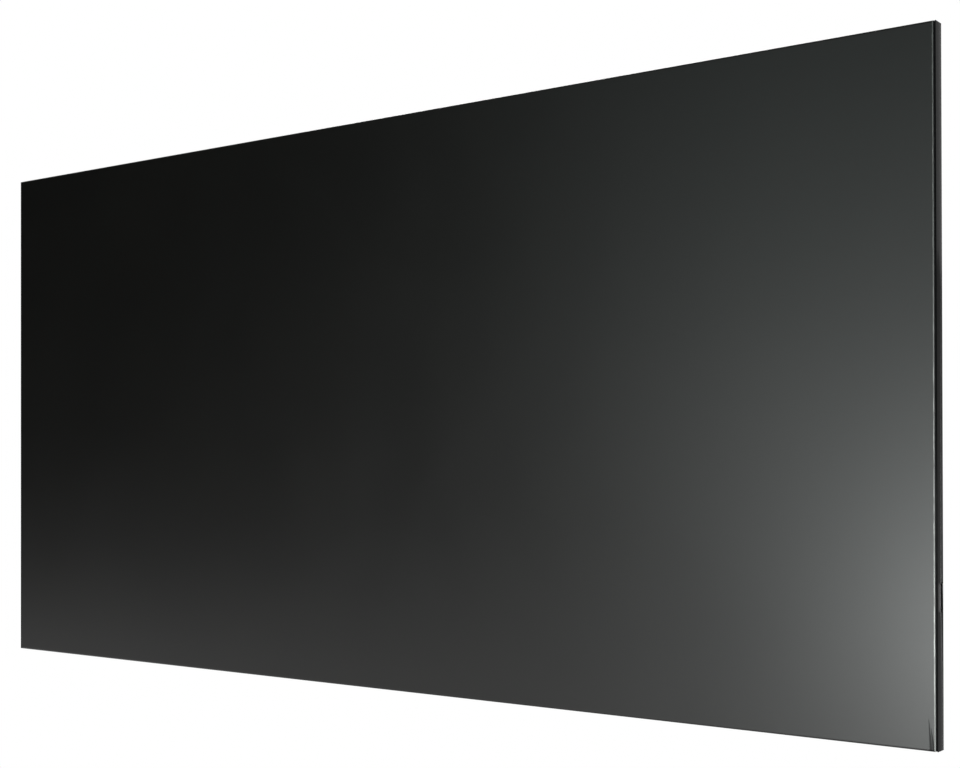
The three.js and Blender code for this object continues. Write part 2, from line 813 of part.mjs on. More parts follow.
function makeJunctionBox() {
  const outside = slab(boxOutline(0), onCover, boxDepth).translate(boxX, 0, boxZ);
  const hollow = slab(boxOutline(boxWall), boxInside, boxDepth).translate(boxX, 0, boxZ);
  const bosses = bossPlaces.map(([x, z]) => barY(bossRadius, boxInside - boxFloor / 2, boxTop, x, z));
  const floorDrill = (radius, x, z) =>
    barY(radius, onCover - cutMargin, boxInside + cutMargin, x, z);
  const housing = cut(
    join(cut(outside, hollow), ...bosses),
    ...bossPlaces.map(([x, z]) =>
      barY(screwRadius + seatGap, boxTop - bossHoleDepth, boxTop + cutMargin, x, z),
    ),
    ...boxRivetPlaces.map(([x, z]) => floorDrill(rivetRadius + seatGap, x, z)),
    floorDrill(earthScrewRadius + seatGap, earthX, earthZ),
    floorDrill(leadHoleRadius, leadHoleX, leadHoleZ),
    barX(
      glandThreadRadius + seatGap,
      boxRightFace - boxWall - cutMargin,
      boxRightFace + cutMargin,
      glandAxisY,
      boxZ,
    ),
  );
  piece("junction_box", housing, blackPlastic);

  const sealRing = cut(
    slab(boxOutline(0), sealFront, sealThickness).translate(boxX, 0, boxZ),
    slab(boxOutline(boxWall), sealFront - cutMargin, sealThickness + 2 * cutMargin).translate(boxX, 0, boxZ),
  );
  piece("box_seal", sealRing, sealRubber);

  const lid = new THREE.ExtrudeGeometry(boxOutline(lidEdge), {
    depth: lidThickness - 2 * lidEdge,
    bevelThickness: lidEdge,
    bevelSize: lidEdge,
    bevelSegments: 2,
    curveSegments: 3,
  })
    .rotateX(Math.PI / 2)
    .translate(boxX, lidBack - lidEdge, boxZ);
  const lidHoles = bossPlaces.map(([x, z]) =>
    barY(screwRadius + seatGap, lidFront - cutMargin, lidBack + cutMargin, x, z),
  );
  piece("box_lid", cut(lid, ...lidHoles), blackPlastic);

  bossPlaces.forEach(([x, z], i) => {
    const screw = panScrew(screwRadius, screwHeadRadius, lidScrewHeadHeight, lidScrewLength);
    piece(`lid_screw_${i + 1}`, screw, zincPlated).position.set(x, lidBack + seatGap, z);
  });
  const grip = boxFloor + seatGap + coverThickness;
  boxRivetPlaces.forEach(([x, z], i) => {
    piece(`box_rivet_${i + 1}`, blindRivet(grip), aluminium).position.set(x, boxInside + seatGap, z);
  });
}

function makeGland() {
  const collarStart = boxRightFace + seatGap;
  const threadStart = collarStart + glandCollar;
  const threadEnd = threadStart + glandThreadOut;
  const innerEnd = boxRightFace - boxWall - glandThreadIn;
  const bore = (from, to) => barX(glandBoreRadius, from, to, glandAxisY, boxZ);
  const body = cut(
    join(
      barX(glandThreadRadius, innerEnd, threadEnd, glandAxisY, boxZ),
      hexagonX(glandAcrossFlats, collarStart, threadStart, glandAxisY, boxZ),
    ),
    bore(innerEnd - cutMargin, threadEnd + cutMargin),
  );
  piece("gland_body", body, blackPlastic);

  const capStart = threadStart + seatGap;
  const capEnd = capStart + glandCapLength;
  const domeStart = capEnd - glandDome;
  const lipRadius = glandBoreRadius + glandLip;
  const dome = new THREE.CylinderGeometry(lipRadius, glandAcrossFlats / 2, glandDome, glandSides)
    .rotateZ(-Math.PI / 2)
    .translate((domeStart + capEnd) / 2, glandAxisY, boxZ);
  const cap = cut(
    join(hexagonX(glandAcrossFlats, capStart, domeStart, glandAxisY, boxZ), dome),
    barX(glandThreadRadius + seatGap, capStart - cutMargin, threadEnd + seatGap, glandAxisY, boxZ),
    bore(capStart, capEnd + cutMargin),
  );
  piece("gland_cap_nut", cap, blackPlastic);

  const nutEnd = boxRightFace - boxWall - seatGap;
  const nutStart = nutEnd - lockNutThickness;
  const lockNut = cut(
    hexagonX(glandAcrossFlats, nutStart, nutEnd, glandAxisY, boxZ),
    barX(glandThreadRadius + seatGap, nutStart - cutMargin, nutEnd + cutMargin, glandAxisY, boxZ),
  );
  piece("gland_lock_nut", lockNut, blackPlastic);
}

const poleLevels = [-1, 0, 1].map((step) => boxZ + step * poleSpacing);

function makeTerminalBlock() {
  const back = blockFront + blockHeight;
  const body = block(blockWidth, blockHeight, blockLength, blockX, (blockFront + back) / 2, boxZ);
  const half = blockWidth / 2 + cutMargin;
  const bores = poleLevels.map((z) =>
    barX(wireBoreRadius, blockX - half, blockX + half, wireY, z, wireBoreSides),
  );
  const wells = poleLevels.flatMap((z) =>
    [-1, 1].map((side) =>
      barY(wellRadius, wireY, back + cutMargin, blockX + side * wellOffset, z, wireBoreSides),
    ),
  );
  piece("terminal_block", cut(body, ...bores, ...wells), ceramic);
}

const cutoutFront = plateThickness + seatGap;
const cutoutBack = cutoutFront + cutoutHeight;
const tabMiddle = cutoutBack + tabRise / 2;

function makeThermalCutout() {
  const tabs = [-1, 1].map((side) =>
    block(
      tabWidth,
      tabRise + cutMargin,
      tabThickness,
      cutoutX,
      tabMiddle - cutMargin / 2,
      feedZ + (side * tabSpacing) / 2,
    ),
  );
  const flangeBackFace = cutoutFront + cutoutFlange;
  const flange = barY(cutoutRadius, cutoutFront, flangeBackFace, cutoutX, feedZ, roundSides);
  const can = barY(cutoutCanRadius, cutoutFront, cutoutBack, cutoutX, feedZ, roundSides);
  piece("thermal_cutout", join(flange, can, ...tabs), aluminium);
}

// A lead along a smooth curve through [x, y, z] points.
function lead(points, steps) {
  const curve = new THREE.CatmullRomCurve3(points.map(([x, y, z]) => new THREE.Vector3(x, y, z)));
  return tube(curve.getSpacedPoints(steps), leadRadius, cableSides);
}

function makeLeads() {
  const blockEntry = blockX - blockWidth / 2;
  const leadEnd = blockEntry + leadInsertion;
  const [neutralZ, liveZ, earthPoleZ] = poleLevels;
  const feedEnd = feedX - seatGap;
  const tabFace = tabSpacing / 2 + tabThickness / 2 + seatGap;

  const toCutout = [
    [feedEnd, cableCentre, feedZ + feedSpread],
    [feedEnd - 7, cableCentre + 1.5, feedZ + feedSpread + 1],
    [cutoutX + 13, tabMiddle - 3.5, feedZ + tabFace + 2.5],
    [cutoutX + 5, tabMiddle - 0.6, feedZ + tabFace + 4.5],
    [cutoutX, tabMiddle, feedZ + tabFace + 2.5],
    [cutoutX, tabMiddle, feedZ + tabFace],
  ];
  piece("cutout_lead", lead(toCutout, 16), liveLead);

  const live = [
    [cutoutX, tabMiddle, feedZ - tabFace],
    [cutoutX, tabMiddle, feedZ - tabFace - 2.5],
    [cutoutX + 4, tabMiddle + 0.4, feedZ - tabFace - 4.5],
    [cutoutX + 9, tabMiddle + 1.2, feedZ - tabFace - 2],
    [leadHoleX - 3, coverFront + 0.6, leadHoleZ - 1],
    [leadHoleX - 1, wireY - 3, leadHoleZ + 4],
    [leadHoleX + 7, wireY, liveZ - 3],
    [blockEntry - 4, wireY, liveZ],
    [leadEnd, wireY, liveZ],
  ];
  piece("live_lead", lead(live, 26), liveLead);

  const neutral = [
    [feedEnd, cableCentre, feedZ - feedSpread],
    [feedEnd - 6, cableCentre + 2, feedZ - feedSpread + 0.5],
    [leadHoleX + 5, tabMiddle - 2.5, feedZ - 2],
    [leadHoleX + 4.5, coverFront, leadHoleZ - 3],
    [leadHoleX + 5.5, wireY - 3, leadHoleZ - 1.5],
    [leadHoleX + 12, wireY, neutralZ - 1],
    [blockEntry - 3, wireY, neutralZ],
    [leadEnd, wireY, neutralZ],
  ];
  piece("neutral_lead", lead(neutral, 26), neutralLead);

  const earthY = boxInside + seatGap + leadRadius;
  const earth = [
    [earthX + earthScrewHeadRadius + seatGap, earthY, earthZ],
    [earthX + earthScrewHeadRadius + 5, earthY + 1, earthZ - 1],
    [blockEntry - 10, wireY - 0.5, earthPoleZ + 4],
    [blockEntry - 3, wireY, earthPoleZ],
    [leadEnd, wireY, earthPoleZ],
  ];
  piece("earth_lead", lead(earth, 16), earthLead);

  const earthScrew = panScrew(
    earthScrewRadius,
    earthScrewHeadRadius,
    earthScrewHeadHeight,
    earthScrewLength,
  );
  piece("earth_screw", earthScrew, zincPlated).position.set(earthX, boxInside + seatGap, earthZ);
}

makeFrontPlate();
makeFrame();
makeCorners();
makeHeatingLayers();
makeBackCover();
makeCoverScrews();
makeHangingRails();
makeJunctionBox();
makeGland();
makeTerminalBlock();
makeThermalCutout();
makeLeads();

export default heater;
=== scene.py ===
"""Infrared panel heater: fine edges, finishes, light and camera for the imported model.

Metres, in the model's frame: +X along the panel to the viewer's right, +Y into the wall, +Z up.
"""

import json
import math

import bmesh
import bpy
from mathutils import Matrix, Vector


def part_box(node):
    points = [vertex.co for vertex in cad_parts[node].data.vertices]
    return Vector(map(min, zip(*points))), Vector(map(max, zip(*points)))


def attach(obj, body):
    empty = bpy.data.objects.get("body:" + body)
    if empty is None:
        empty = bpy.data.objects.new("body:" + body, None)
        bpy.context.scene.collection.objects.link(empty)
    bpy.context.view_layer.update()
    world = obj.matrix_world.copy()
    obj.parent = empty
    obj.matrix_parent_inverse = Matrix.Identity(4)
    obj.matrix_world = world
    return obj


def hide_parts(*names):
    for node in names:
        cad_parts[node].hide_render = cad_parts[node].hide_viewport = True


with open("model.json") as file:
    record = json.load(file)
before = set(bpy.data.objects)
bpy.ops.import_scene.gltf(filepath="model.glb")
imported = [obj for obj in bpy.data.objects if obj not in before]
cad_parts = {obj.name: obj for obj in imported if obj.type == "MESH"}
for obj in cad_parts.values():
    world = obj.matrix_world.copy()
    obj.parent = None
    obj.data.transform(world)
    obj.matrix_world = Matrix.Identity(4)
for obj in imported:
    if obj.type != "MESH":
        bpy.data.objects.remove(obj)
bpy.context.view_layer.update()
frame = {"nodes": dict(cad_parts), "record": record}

MM = 0.001
BODY = "root"
WELD = 1e-6  # vertices closer than this are one
SMOOTH_BELOW = math.radians(35)  # edges that turn less than this are shaded smooth
FLAT_BELOW = math.radians(0.5)  # faces that turn less than this are made one
QUARTER = math.pi / 2
CUT_PAST = 1 * MM  # a cutter reaches this far past what it cuts

# ---------------------------------------------------------------- sizes that the node boxes don't give

PLATE_SHEET = 1.0 * MM
PLATE_EDGE_RADIUS = 1.6 * MM
PLATE_EDGE_STEPS = 8
PLATE_CORNER_RADIUS = 0.9 * MM  # of the tray's outline
PLATE_LEAST_CORNER = 0.15 * MM
PLATE_CORNER_STEPS = 4
FLAT_MARGIN = 0.4 * MM  # keeps a flat face's shading clear of the curves beside it

LIP_WIDTH = 1.2 * MM  # of the side rails' front lip, beside the plate
LIP_GAP = 0.2 * MM  # between the lip and the plate's edge
LIP_END = 0.5 * MM  # the lip stops this far short of the frame's corners
RAIL_JOINT = 0.3 * MM  # between the plate's turned-back edge and the rails behind it
FRAME_EDGE = 0.12 * MM
SLOT_RISE = 126 * MM  # from the frame's foot up to the middle of the side slot
SLOT_HALF_LENGTH = 13 * MM

SCREW_RADIUS = 1.5 * MM
SCREW_TIP = 0.6  # the tip's cone, as a share of the shank's radius
SCREW_HEAD_RADIUS = 2.9 * MM
SCREW_HEAD_SIDE = 0.4  # the head's straight edge, as a share of its height
SCREW_DOME_STEPS = 7
COVER_SCREW_HEAD = 1.6 * MM
LID_SCREW_HEAD = 1.4 * MM
CROSS_DEPTH = 0.7  # of the recess, as a share of the head's height
CROSS_ARM = 1.5 * MM
CROSS_HALF_WIDTH = 0.32 * MM
SCREW_TURN = 37  # degrees from one screw's recess to the next one's

RIVET_HEAD_RADIUS = 3.2 * MM
RIVET_HEAD_HEIGHT = 1.1 * MM
RIVET_DOME_STEPS = 6
RIVET_SHANK_RADIUS = 1.6 * MM
RIVET_TAIL_RADIUS = 2.4 * MM
RIVET_TAIL_HEIGHT = 1.0 * MM
RIVET_TAIL_END = 0.7  # the tail's flat end, as a share of its radius
MANDREL_RADIUS = 0.8 * MM
DIMPLE_RADIUS = 0.85  # of the dimple's floor, as a share of the mandrel's radius
DIMPLE_RISE = 0.6  # of the dimple's floor, as a share of the head's height
ROUND_STEPS = 32

COVER_SHEET = 0.8 * MM
BEAD_HEIGHT = 1.6 * MM
BEAD_RADIUS = 10 * MM
BEAD_TAPER = 2 * MM
BEAD_LENGTH = 1000 * MM
BEAD_INSET = 60 * MM  # outer beads, in from the panel's top and bottom edges
BEAD_SLOPE_STEPS = 6
BEAD_END_STEPS = 12

RAIL_WEB = 40 * MM
RAIL_SHEET = 1.5 * MM
RAIL_BEND = 2.5 * MM  # outside radius
BEND_STEPS = 8
KEYHOLE_X = 300 * MM
KEYHOLE_ENTRY_RADIUS = 5.25 * MM
KEYHOLE_ENTRY_STEPS = 40
KEYHOLE_SLOT_WIDTH = 5 * MM
KEYHOLE_SLOT_STEPS = 16
KEYHOLE_TRAVEL = 12 * MM

BOX_WALL = 2 * MM
BOX_FLOOR = 1.8 * MM
BOX_CORNER = 5 * MM
BOX_LEAST_CORNER = 0.3 * MM
BOX_CORNER_STEPS = 8
BOX_EDGE = 0.6 * MM  # rounding of the box's base, inside and outside
BOX_RIM = 0.25 * MM  # rounding of its open rim
SEAL_EDGE = 0.1 * MM
LID_EDGE = 0.5 * MM
LID_CROWN = 1.1 * MM  # rounding of the lid's outer edge
LID_CROWN_STEPS = 5

GLAND_BORE_RADIUS = 3.5 * MM
GLAND_DOME = 4.05 * MM
GLAND_DOME_STEPS = 8
GLAND_LIP = 1 * MM
GLAND_CHAMFER = 0.8 * MM
GLAND_STEPS = 48
GLAND_BODY_EDGE = 0.35 * MM
GLAND_SHARP_ABOVE = 50  # degrees; edges of its body that turn less stay as they are

# ---------------------------------------------------------------- meshes


def arc_points(centre_x, centre_z, radius, start, end, steps):
    """Points on an arc in plan, both ends included."""
    angles = [start + (end - start) * i / steps for i in range(steps + 1)]
    return [(centre_x + radius * math.cos(a), centre_z + radius * math.sin(a)) for a in angles]


def rounded_rectangle(low, high, inset, radius, steps):
    """Plan points of a rectangle with round corners, inset from the box between low and high."""
    left, right = low.x + inset + radius, high.x - inset - radius
    bottom, top = low.z + inset + radius, high.z - inset - radius
    return [
        *arc_points(right, top, radius, 0, QUARTER, steps),
        *arc_points(left, top, radius, QUARTER, 2 * QUARTER, steps),
        *arc_points(left, bottom, radius, 2 * QUARTER, 3 * QUARTER, steps),
        *arc_points(right, bottom, radius, 3 * QUARTER, 4 * QUARTER, steps),
    ]


def bridge(bm, ring, following):
    """Quads between two rings with the same number of vertices."""
    count = len(ring)
    for i in range(count):
        j = (i + 1) % count
        bm.faces.new((ring[i], ring[j], following[j], following[i]))


def loft(rings):
    """A closed body through rings of (x, y, z) points, capped at both ends."""
    bm = bmesh.new()
    made = [[bm.verts.new(point) for point in ring] for ring in rings]
    for ring, following in zip(made, made[1:]):
        bridge(bm, ring, following)
    bm.faces.new(made[0])
    bm.faces.new(reversed(made[-1]))
    return bm


def lathe(profile, steps=ROUND_STEPS):
    """A body turned about the y axis from (radius, y) points; it starts and ends on the axis."""
    bm = bmesh.new()
    rings = []
    for radius, y in profile:
        if radius == 0:
            rings.append([bm.verts.new((0, y, 0))])
            continue
        circle = arc_points(0, 0, radius, 0, 2 * math.pi, steps)[:-1]
        rings.append([bm.verts.new((x, y, z)) for x, z in circle])
    for ring, following in zip(rings, rings[1:]):
        if len(ring) == 1:
            for i in range(steps):
                bm.faces.new((ring[0], following[i], following[(i + 1) % steps]))
        elif len(following) == 1:
            for i in range(steps):
                bm.faces.new((ring[i], following[0], ring[(i + 1) % steps]))
        else:
            bridge(bm, ring, following)
    return bm


def prism(outline, start, end, axis="y"):
    """An outline given length along one axis.

    Its points hold the other two coordinates: (x, z) along y, (y, z) along x, and (x, y) along z.
    """
    if axis == "y":
        return loft([[(a, s, b) for a, b in outline] for s in (start, end)])
    if axis == "z":
        return loft([[(a, b, s) for a, b in outline] for s in (start, end)])
    return loft([[(s, a, b) for a, b in outline] for s in (start, end)])


def bent_outline(corners):
    """An outline through right-angled (a, b, bend) corners, each rounded to its bend radius."""
    points = []
    for i, (a, b, bend) in enumerate(corners):
        here = Vector((a, b))
        if bend == 0:
            points.append((a, b))
            continue
        back = (Vector(corners[i - 1][:2]) - here).normalized() * bend
        ahead = (Vector(corners[(i + 1) % len(corners)][:2]) - here).normalized() * bend
        centre = here + back + ahead
        for k in range(BEND_STEPS + 1):
            angle = QUARTER * k / BEND_STEPS
            points.append(tuple(centre - ahead * math.cos(angle) - back * math.sin(angle)))
    return points


def to_mesh(bm, name):
    """Turns a bmesh into a mesh with smooth shading and sharp hard edges."""
    bmesh.ops.recalc_face_normals(bm, faces=bm.faces)
    mesh = bpy.data.meshes.new(name)
    bm.to_mesh(mesh)
    bm.free()
    mesh.shade_smooth()
    mesh.set_sharp_from_angle(angle=SMOOTH_BELOW)
    return mesh


def place(name, mesh, finishes, slot, node, seat=None):
    """Puts a mesh into the scene as the piece that stands for a node, in the finish of its slot."""
    piece = bpy.data.objects.new(name, mesh)
    bpy.context.scene.collection.objects.link(piece)
    if not mesh.materials:  # screws share one mesh, and so do rivets
        mesh.materials.append(finishes[slot])
    if seat:
        piece.matrix_world = seat
    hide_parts(node)
    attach(piece, BODY)


def carved(bm, *cutters, operation="DIFFERENCE"):
    """The body with the cutters taken away from it, joined to it, or kept in common with it."""
    scene = bpy.context.scene
    body = bpy.data.objects.new("carved_body", to_mesh(bm, "carved_body"))
    scene.collection.objects.link(body)
    tools = []
    for cutter in cutters:
        tool = bpy.data.objects.new("cutter", to_mesh(cutter, "cutter"))
        scene.collection.objects.link(tool)
        tools.append(tool)
        step = body.modifiers.new("cut", "BOOLEAN")
        step.object = tool
        step.operation = operation
        step.solver = "EXACT"
    shaped = body.evaluated_get(bpy.context.evaluated_depsgraph_get())
    result = bmesh.new()
    result.from_mesh(shaped.to_mesh())
    shaped.to_mesh_clear()
    for item in [body, *tools]:
        mesh = item.data
        bpy.data.objects.remove(item)
        bpy.data.meshes.remove(mesh)
    bmesh.ops.remove_doubles(result, verts=result.verts, dist=WELD)
    return result


def soften(bm, width, above=40):
    """Rounds the edges that turn more than a given number of degrees."""
    sharp = [e for e in bm.edges if e.is_manifold and e.calc_face_angle() > math.radians(above)]
    bmesh.ops.bevel(
        bm,
        geom=sharp,
        offset=width,
        segments=2,
        profile=0.5,
        affect="EDGES",
        clamp_overlap=True,
    )
    return bm


def cad_shape(node):
    """A node's own shape, welded and with its flat faces made whole."""
    bm = bmesh.new()
    bm.from_mesh(frame["nodes"][node].data)
    bmesh.ops.remove_doubles(bm, verts=bm.verts, dist=WELD)
    bmesh.ops.dissolve_limit(bm, angle_limit=FLAT_BELOW, verts=bm.verts, edges=bm.edges)
    return bm


# ---------------------------------------------------------------- node trees

IOR = 1.5
NOISE_LOW, NOISE_HIGH = 0.3, 0.7  # most of a noise lies between these


class Recipe:
    """One material's node tree, with short calls for the nodes that its finish needs."""

    def __init__(self, name, color, metallic, roughness):
        self.material = bpy.data.materials.new(name)
        self.material.use_nodes = True
        self.tree = self.material.node_tree
        self.shader = self.tree.nodes["Principled BSDF"]
        self.set("Base Color", (*color, 1))
        self.set("Metallic", metallic)
        self.set("Roughness", roughness)
        self.set("IOR", IOR)
        self.position = self.add("ShaderNodeTexCoord").outputs["Object"]

    def add(self, kind, **settings):
        """A new node of a kind, with its settings."""
        made = self.tree.nodes.new(kind)
        for key, value in settings.items():
            setattr(made, key, value)
        return made

    def set(self, socket, value):
        """Gives the shader one value all over the surface."""
        self.shader.inputs[socket].default_value = value

    def link(self, source, target):
        """Joins an output to an input."""
        self.tree.links.new(source, target)

    def feed(self, source, socket):
        """Gives the shader a value that varies over the surface."""
        self.link(source, self.shader.inputs[socket])

    def stretched(self, scale):
        """The coordinates scaled by a different amount along each axis."""
        mapping = self.add("ShaderNodeMapping")
        mapping.inputs["Scale"].default_value = scale
        self.link(self.position, mapping.inputs["Vector"])
        return mapping.outputs["Vector"]

    def axis(self, name):
        """One coordinate: X, Y or Z."""
        made = self.add("ShaderNodeSeparateXYZ")
        self.link(self.position, made.inputs["Vector"])
        return made.outputs[name]

    def noise(self, scale, detail=2.0, roughness=0.5, distortion=0.0, where=None):
        """Soft noise; its scale is the number of lumps in a metre, more or less."""
        made = self.add("ShaderNodeTexNoise")
        self.link(where or self.position, made.inputs["Vector"])
        made.inputs["Scale"].default_value = scale
        made.inputs["Detail"].default_value = detail
        made.inputs["Roughness"].default_value = roughness
        made.inputs["Distortion"].default_value = distortion
        return made.outputs["Fac"]

    def cells(self, scale, feature="F1", output="Color"):
        """Irregular cells, such as crystals or pores."""
        made = self.add("ShaderNodeTexVoronoi", feature=feature)
        self.link(self.position, made.inputs["Vector"])
        made.inputs["Scale"].default_value = scale
        return made.outputs[output]

    def span(self, source, low, high, to_low=0.0, to_high=1.0, smooth=False):
        """Maps a value from one range to another."""
        made = self.add("ShaderNodeMapRange", interpolation_type="SMOOTHSTEP" if smooth else "LINEAR")
        made.clamp = True
        self.link(source, made.inputs["Value"])
        made.inputs["From Min"].default_value = low
        made.inputs["From Max"].default_value = high
        made.inputs["To Min"].default_value = to_low
        made.inputs["To Max"].default_value = to_high
        return made.outputs["Result"]

    def vary(self, noise, to_low=0.0, to_high=1.0):
        """Spreads a noise over a range."""
        return self.span(noise, NOISE_LOW, NOISE_HIGH, to_low, to_high)

    def math(self, operation, first, second=0.0):
        """The result of an operation on one or two values or numbers."""
        made = self.add("ShaderNodeMath", operation=operation)
        for value, socket in ((first, made.inputs[0]), (second, made.inputs[1])):
            if isinstance(value, (int, float)):
                socket.default_value = value
            else:
                self.link(value, socket)
        return made.outputs["Value"]

    def blend(self, share, first, second):
        """A colour between two colours, each of which may be a blend itself."""
        made = self.add("ShaderNodeMix", data_type="RGBA")
        self.link(share, made.inputs["Factor"])
        for value, socket in ((first, made.inputs["A"]), (second, made.inputs["B"])):
            if isinstance(value, tuple):
                socket.default_value = (*value, 1)
            else:
                self.link(value, socket)
        return made.outputs["Result"]

    def bump(self, height, depth, under=None):
        """A bump of a given depth in metres, laid over another bump if there is one."""
        made = self.add("ShaderNodeBump")
        made.inputs["Strength"].default_value = 1.0
        made.inputs["Distance"].default_value = depth
        self.link(height, made.inputs["Height"])
        if under:
            self.link(under, made.inputs["Normal"])
        return made.outputs["Normal"]


# ---------------------------------------------------------------- finishes

SPECULAR = 0.5  # the shader's usual specular level
# painted highlight: colour of the bare-metal band on the plate's right edge
PLATE_HIGHLIGHT_METAL = (0.38, 0.39, 0.38)
PLATE_HIGHLIGHT_BAND = (1.5 * MM, 1.0 * MM)  # painted highlight: the coating gives way to a bare-metal band between these, in from the right side edge
PLATE_HIGHLIGHT_WANDER = 0.15 * MM  # how far the start of the painted-highlight band wanders
HIGHLIGHT_BAND_ROUGHER = 0.1  # the painted-highlight band of bare metal is this much rougher than the coating
SHADE_STREAKS = (  # painted shade, two dark streaks: height of the top, distance in from the side edge there, and lean towards the corner
    (27 * MM, 6.2 * MM, 0.075),
    (20 * MM, 4.4 * MM, 0.14),
)
STREAK_FOOT_WIDTH, STREAK_TOP_WIDTH = 1.6 * MM, 0.2 * MM
STREAK_FADE = 2 * MM  # a painted-shade streak fades in over this length below its top
STREAK_EDGE = (0.5, 1.1)  # widths off its centre between which the painted shade gives way to full reflection
STREAK_SHINE = 0.3  # reflection left in a painted-shade streak, as a share of the coating's
# painted highlight: colour of the bare metal in front of the side slot
FRAME_HIGHLIGHT_METAL = (0.5, 0.49, 0.5)
SLOT_FADE = 4 * MM  # at both ends of the painted highlight and painted shade beside the slot
SLOT_HIGHLIGHT_BAND = (2 * MM, 4 * MM)  # the painted-highlight band of bare metal starts between these, behind the frame's front
SLOT_SHADE_BAND = (6.4 * MM, 5.4 * MM)  # the painted shade along the slot's rear edge starts between these, before the frame's rear
# share of the reflection that the painted shade behind the slot takes away
SLOT_SHADE_STRENGTH = 0.85
LIP_SHADE = (0.5 * MM, 1.2 * MM)  # painted shade: the lip's front reflects almost nothing, then turns glossy between these depths
LIP_SHADE_SPECULAR = 0.02


def corner_shade_streaks(coat, across, up, side_edge):
    """1 on the coating, less on two painted-shade streaks that run down into the lower right corner."""
    plate_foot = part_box("frame_bottom")[0].z
    height = coat.math("SUBTRACT", up, plate_foot)
    inward = coat.math("SUBTRACT", side_edge, across)
    unshaded = None
    for top, start, lean in SHADE_STREAKS:
        below_top = coat.math("SUBTRACT", top, height)
        centre = coat.math("SUBTRACT", start, coat.math("MULTIPLY", below_top, lean))
        off = coat.math("ABSOLUTE", coat.math("SUBTRACT", inward, centre))
        width = coat.span(height, 0, top, STREAK_FOOT_WIDTH, STREAK_TOP_WIDTH)
        clear = coat.span(coat.math("DIVIDE", off, width), *STREAK_EDGE, STREAK_SHINE, 1.0)
        clear = coat.math("MAXIMUM", clear, coat.span(height, top - STREAK_FADE, top))
        unshaded = clear if unshaded is None else coat.math("MULTIPLY", unshaded, clear)
    return unshaded


def plate_coating():
    """Satin black powder coat: fine orange peel, faint clouding, and a bare-metal band along the right side
    edge that paints a highlight there.
    """
    coat = Recipe("plate_coating", (0.0035, 0.0034, 0.0030), 0.0, 0.34)
    cloud = coat.span(coat.noise(7, detail=4, roughness=0.6), 0.3, 0.75)
    dust = coat.span(coat.noise(420, detail=2), 0.66, 0.8, 0, 0.5)
    black = coat.blend(cloud, (0.0030, 0.0029, 0.0026), (0.0044, 0.0042, 0.0036))
    dusty = coat.blend(dust, black, (0.010, 0.010, 0.009))

    across, up = coat.axis("X"), coat.axis("Z")
    side_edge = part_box("frame_right")[1].x - LIP_WIDTH - LIP_GAP
    # painted highlight: a band of bare metal along the right side edge only
    wavering_across = coat.math("ADD", across, coat.vary(coat.noise(90, detail=3), -PLATE_HIGHLIGHT_WANDER, PLATE_HIGHLIGHT_WANDER))
    highlight_band = coat.span(wavering_across, side_edge - PLATE_HIGHLIGHT_BAND[0], side_edge - PLATE_HIGHLIGHT_BAND[1])
    coat.feed(coat.blend(highlight_band, dusty, PLATE_HIGHLIGHT_METAL), "Base Color")
    coat.feed(highlight_band, "Metallic")
    # painted shade: the streaks cut the coating's reflection
    unshaded = corner_shade_streaks(coat, across, up, side_edge)
    coat.feed(coat.math("MULTIPLY", SPECULAR, unshaded), "Specular IOR Level")

    patch = coat.noise(4.5, detail=5, roughness=0.55, distortion=0.8)
    satin = coat.span(patch, 0.3, 0.75, 0.325, 0.36)
    coat.feed(coat.math("ADD", satin, coat.math("MULTIPLY", highlight_band, HIGHLIGHT_BAND_ROUGHER)), "Roughness")
    waves = coat.bump(coat.noise(1.8, detail=1), 0.5 * MM)
    peel = coat.bump(coat.noise(260, detail=2), 0.010 * MM, under=waves)
    grain = coat.bump(coat.noise(1500, detail=1), 0.003 * MM, under=peel)
    coat.feed(grain, "Normal")
    return coat.material


def slot_highlight_and_shade(coat, low, high):
    """Two shares round the side slot: a painted highlight of bare metal in front of it, and painted shade
    along its rear edge.
    """
    height = coat.math("ABSOLUTE", coat.math("SUBTRACT", coat.axis("Z"), low.z + SLOT_RISE))
    level = coat.span(height, SLOT_HALF_LENGTH - SLOT_FADE, SLOT_HALF_LENGTH, 1, 0)
    depth = coat.axis("Y")
    slot_shade = coat.span(depth, high.y - SLOT_SHADE_BAND[0], high.y - SLOT_SHADE_BAND[1])
    behind_lip = coat.span(depth, low.y + SLOT_HIGHLIGHT_BAND[0], low.y + SLOT_HIGHLIGHT_BAND[1])
    highlight_reach = coat.math("SUBTRACT", behind_lip, slot_shade)
    breakup = coat.span(coat.noise(400, detail=3), 0.35, 0.6, 0.5, 1.0)
    slot_highlight = coat.math("MULTIPLY", coat.math("MULTIPLY", level, highlight_reach), breakup)
    return coat.math("MAXIMUM", slot_highlight, 0.0), coat.math("MULTIPLY", level, slot_shade)


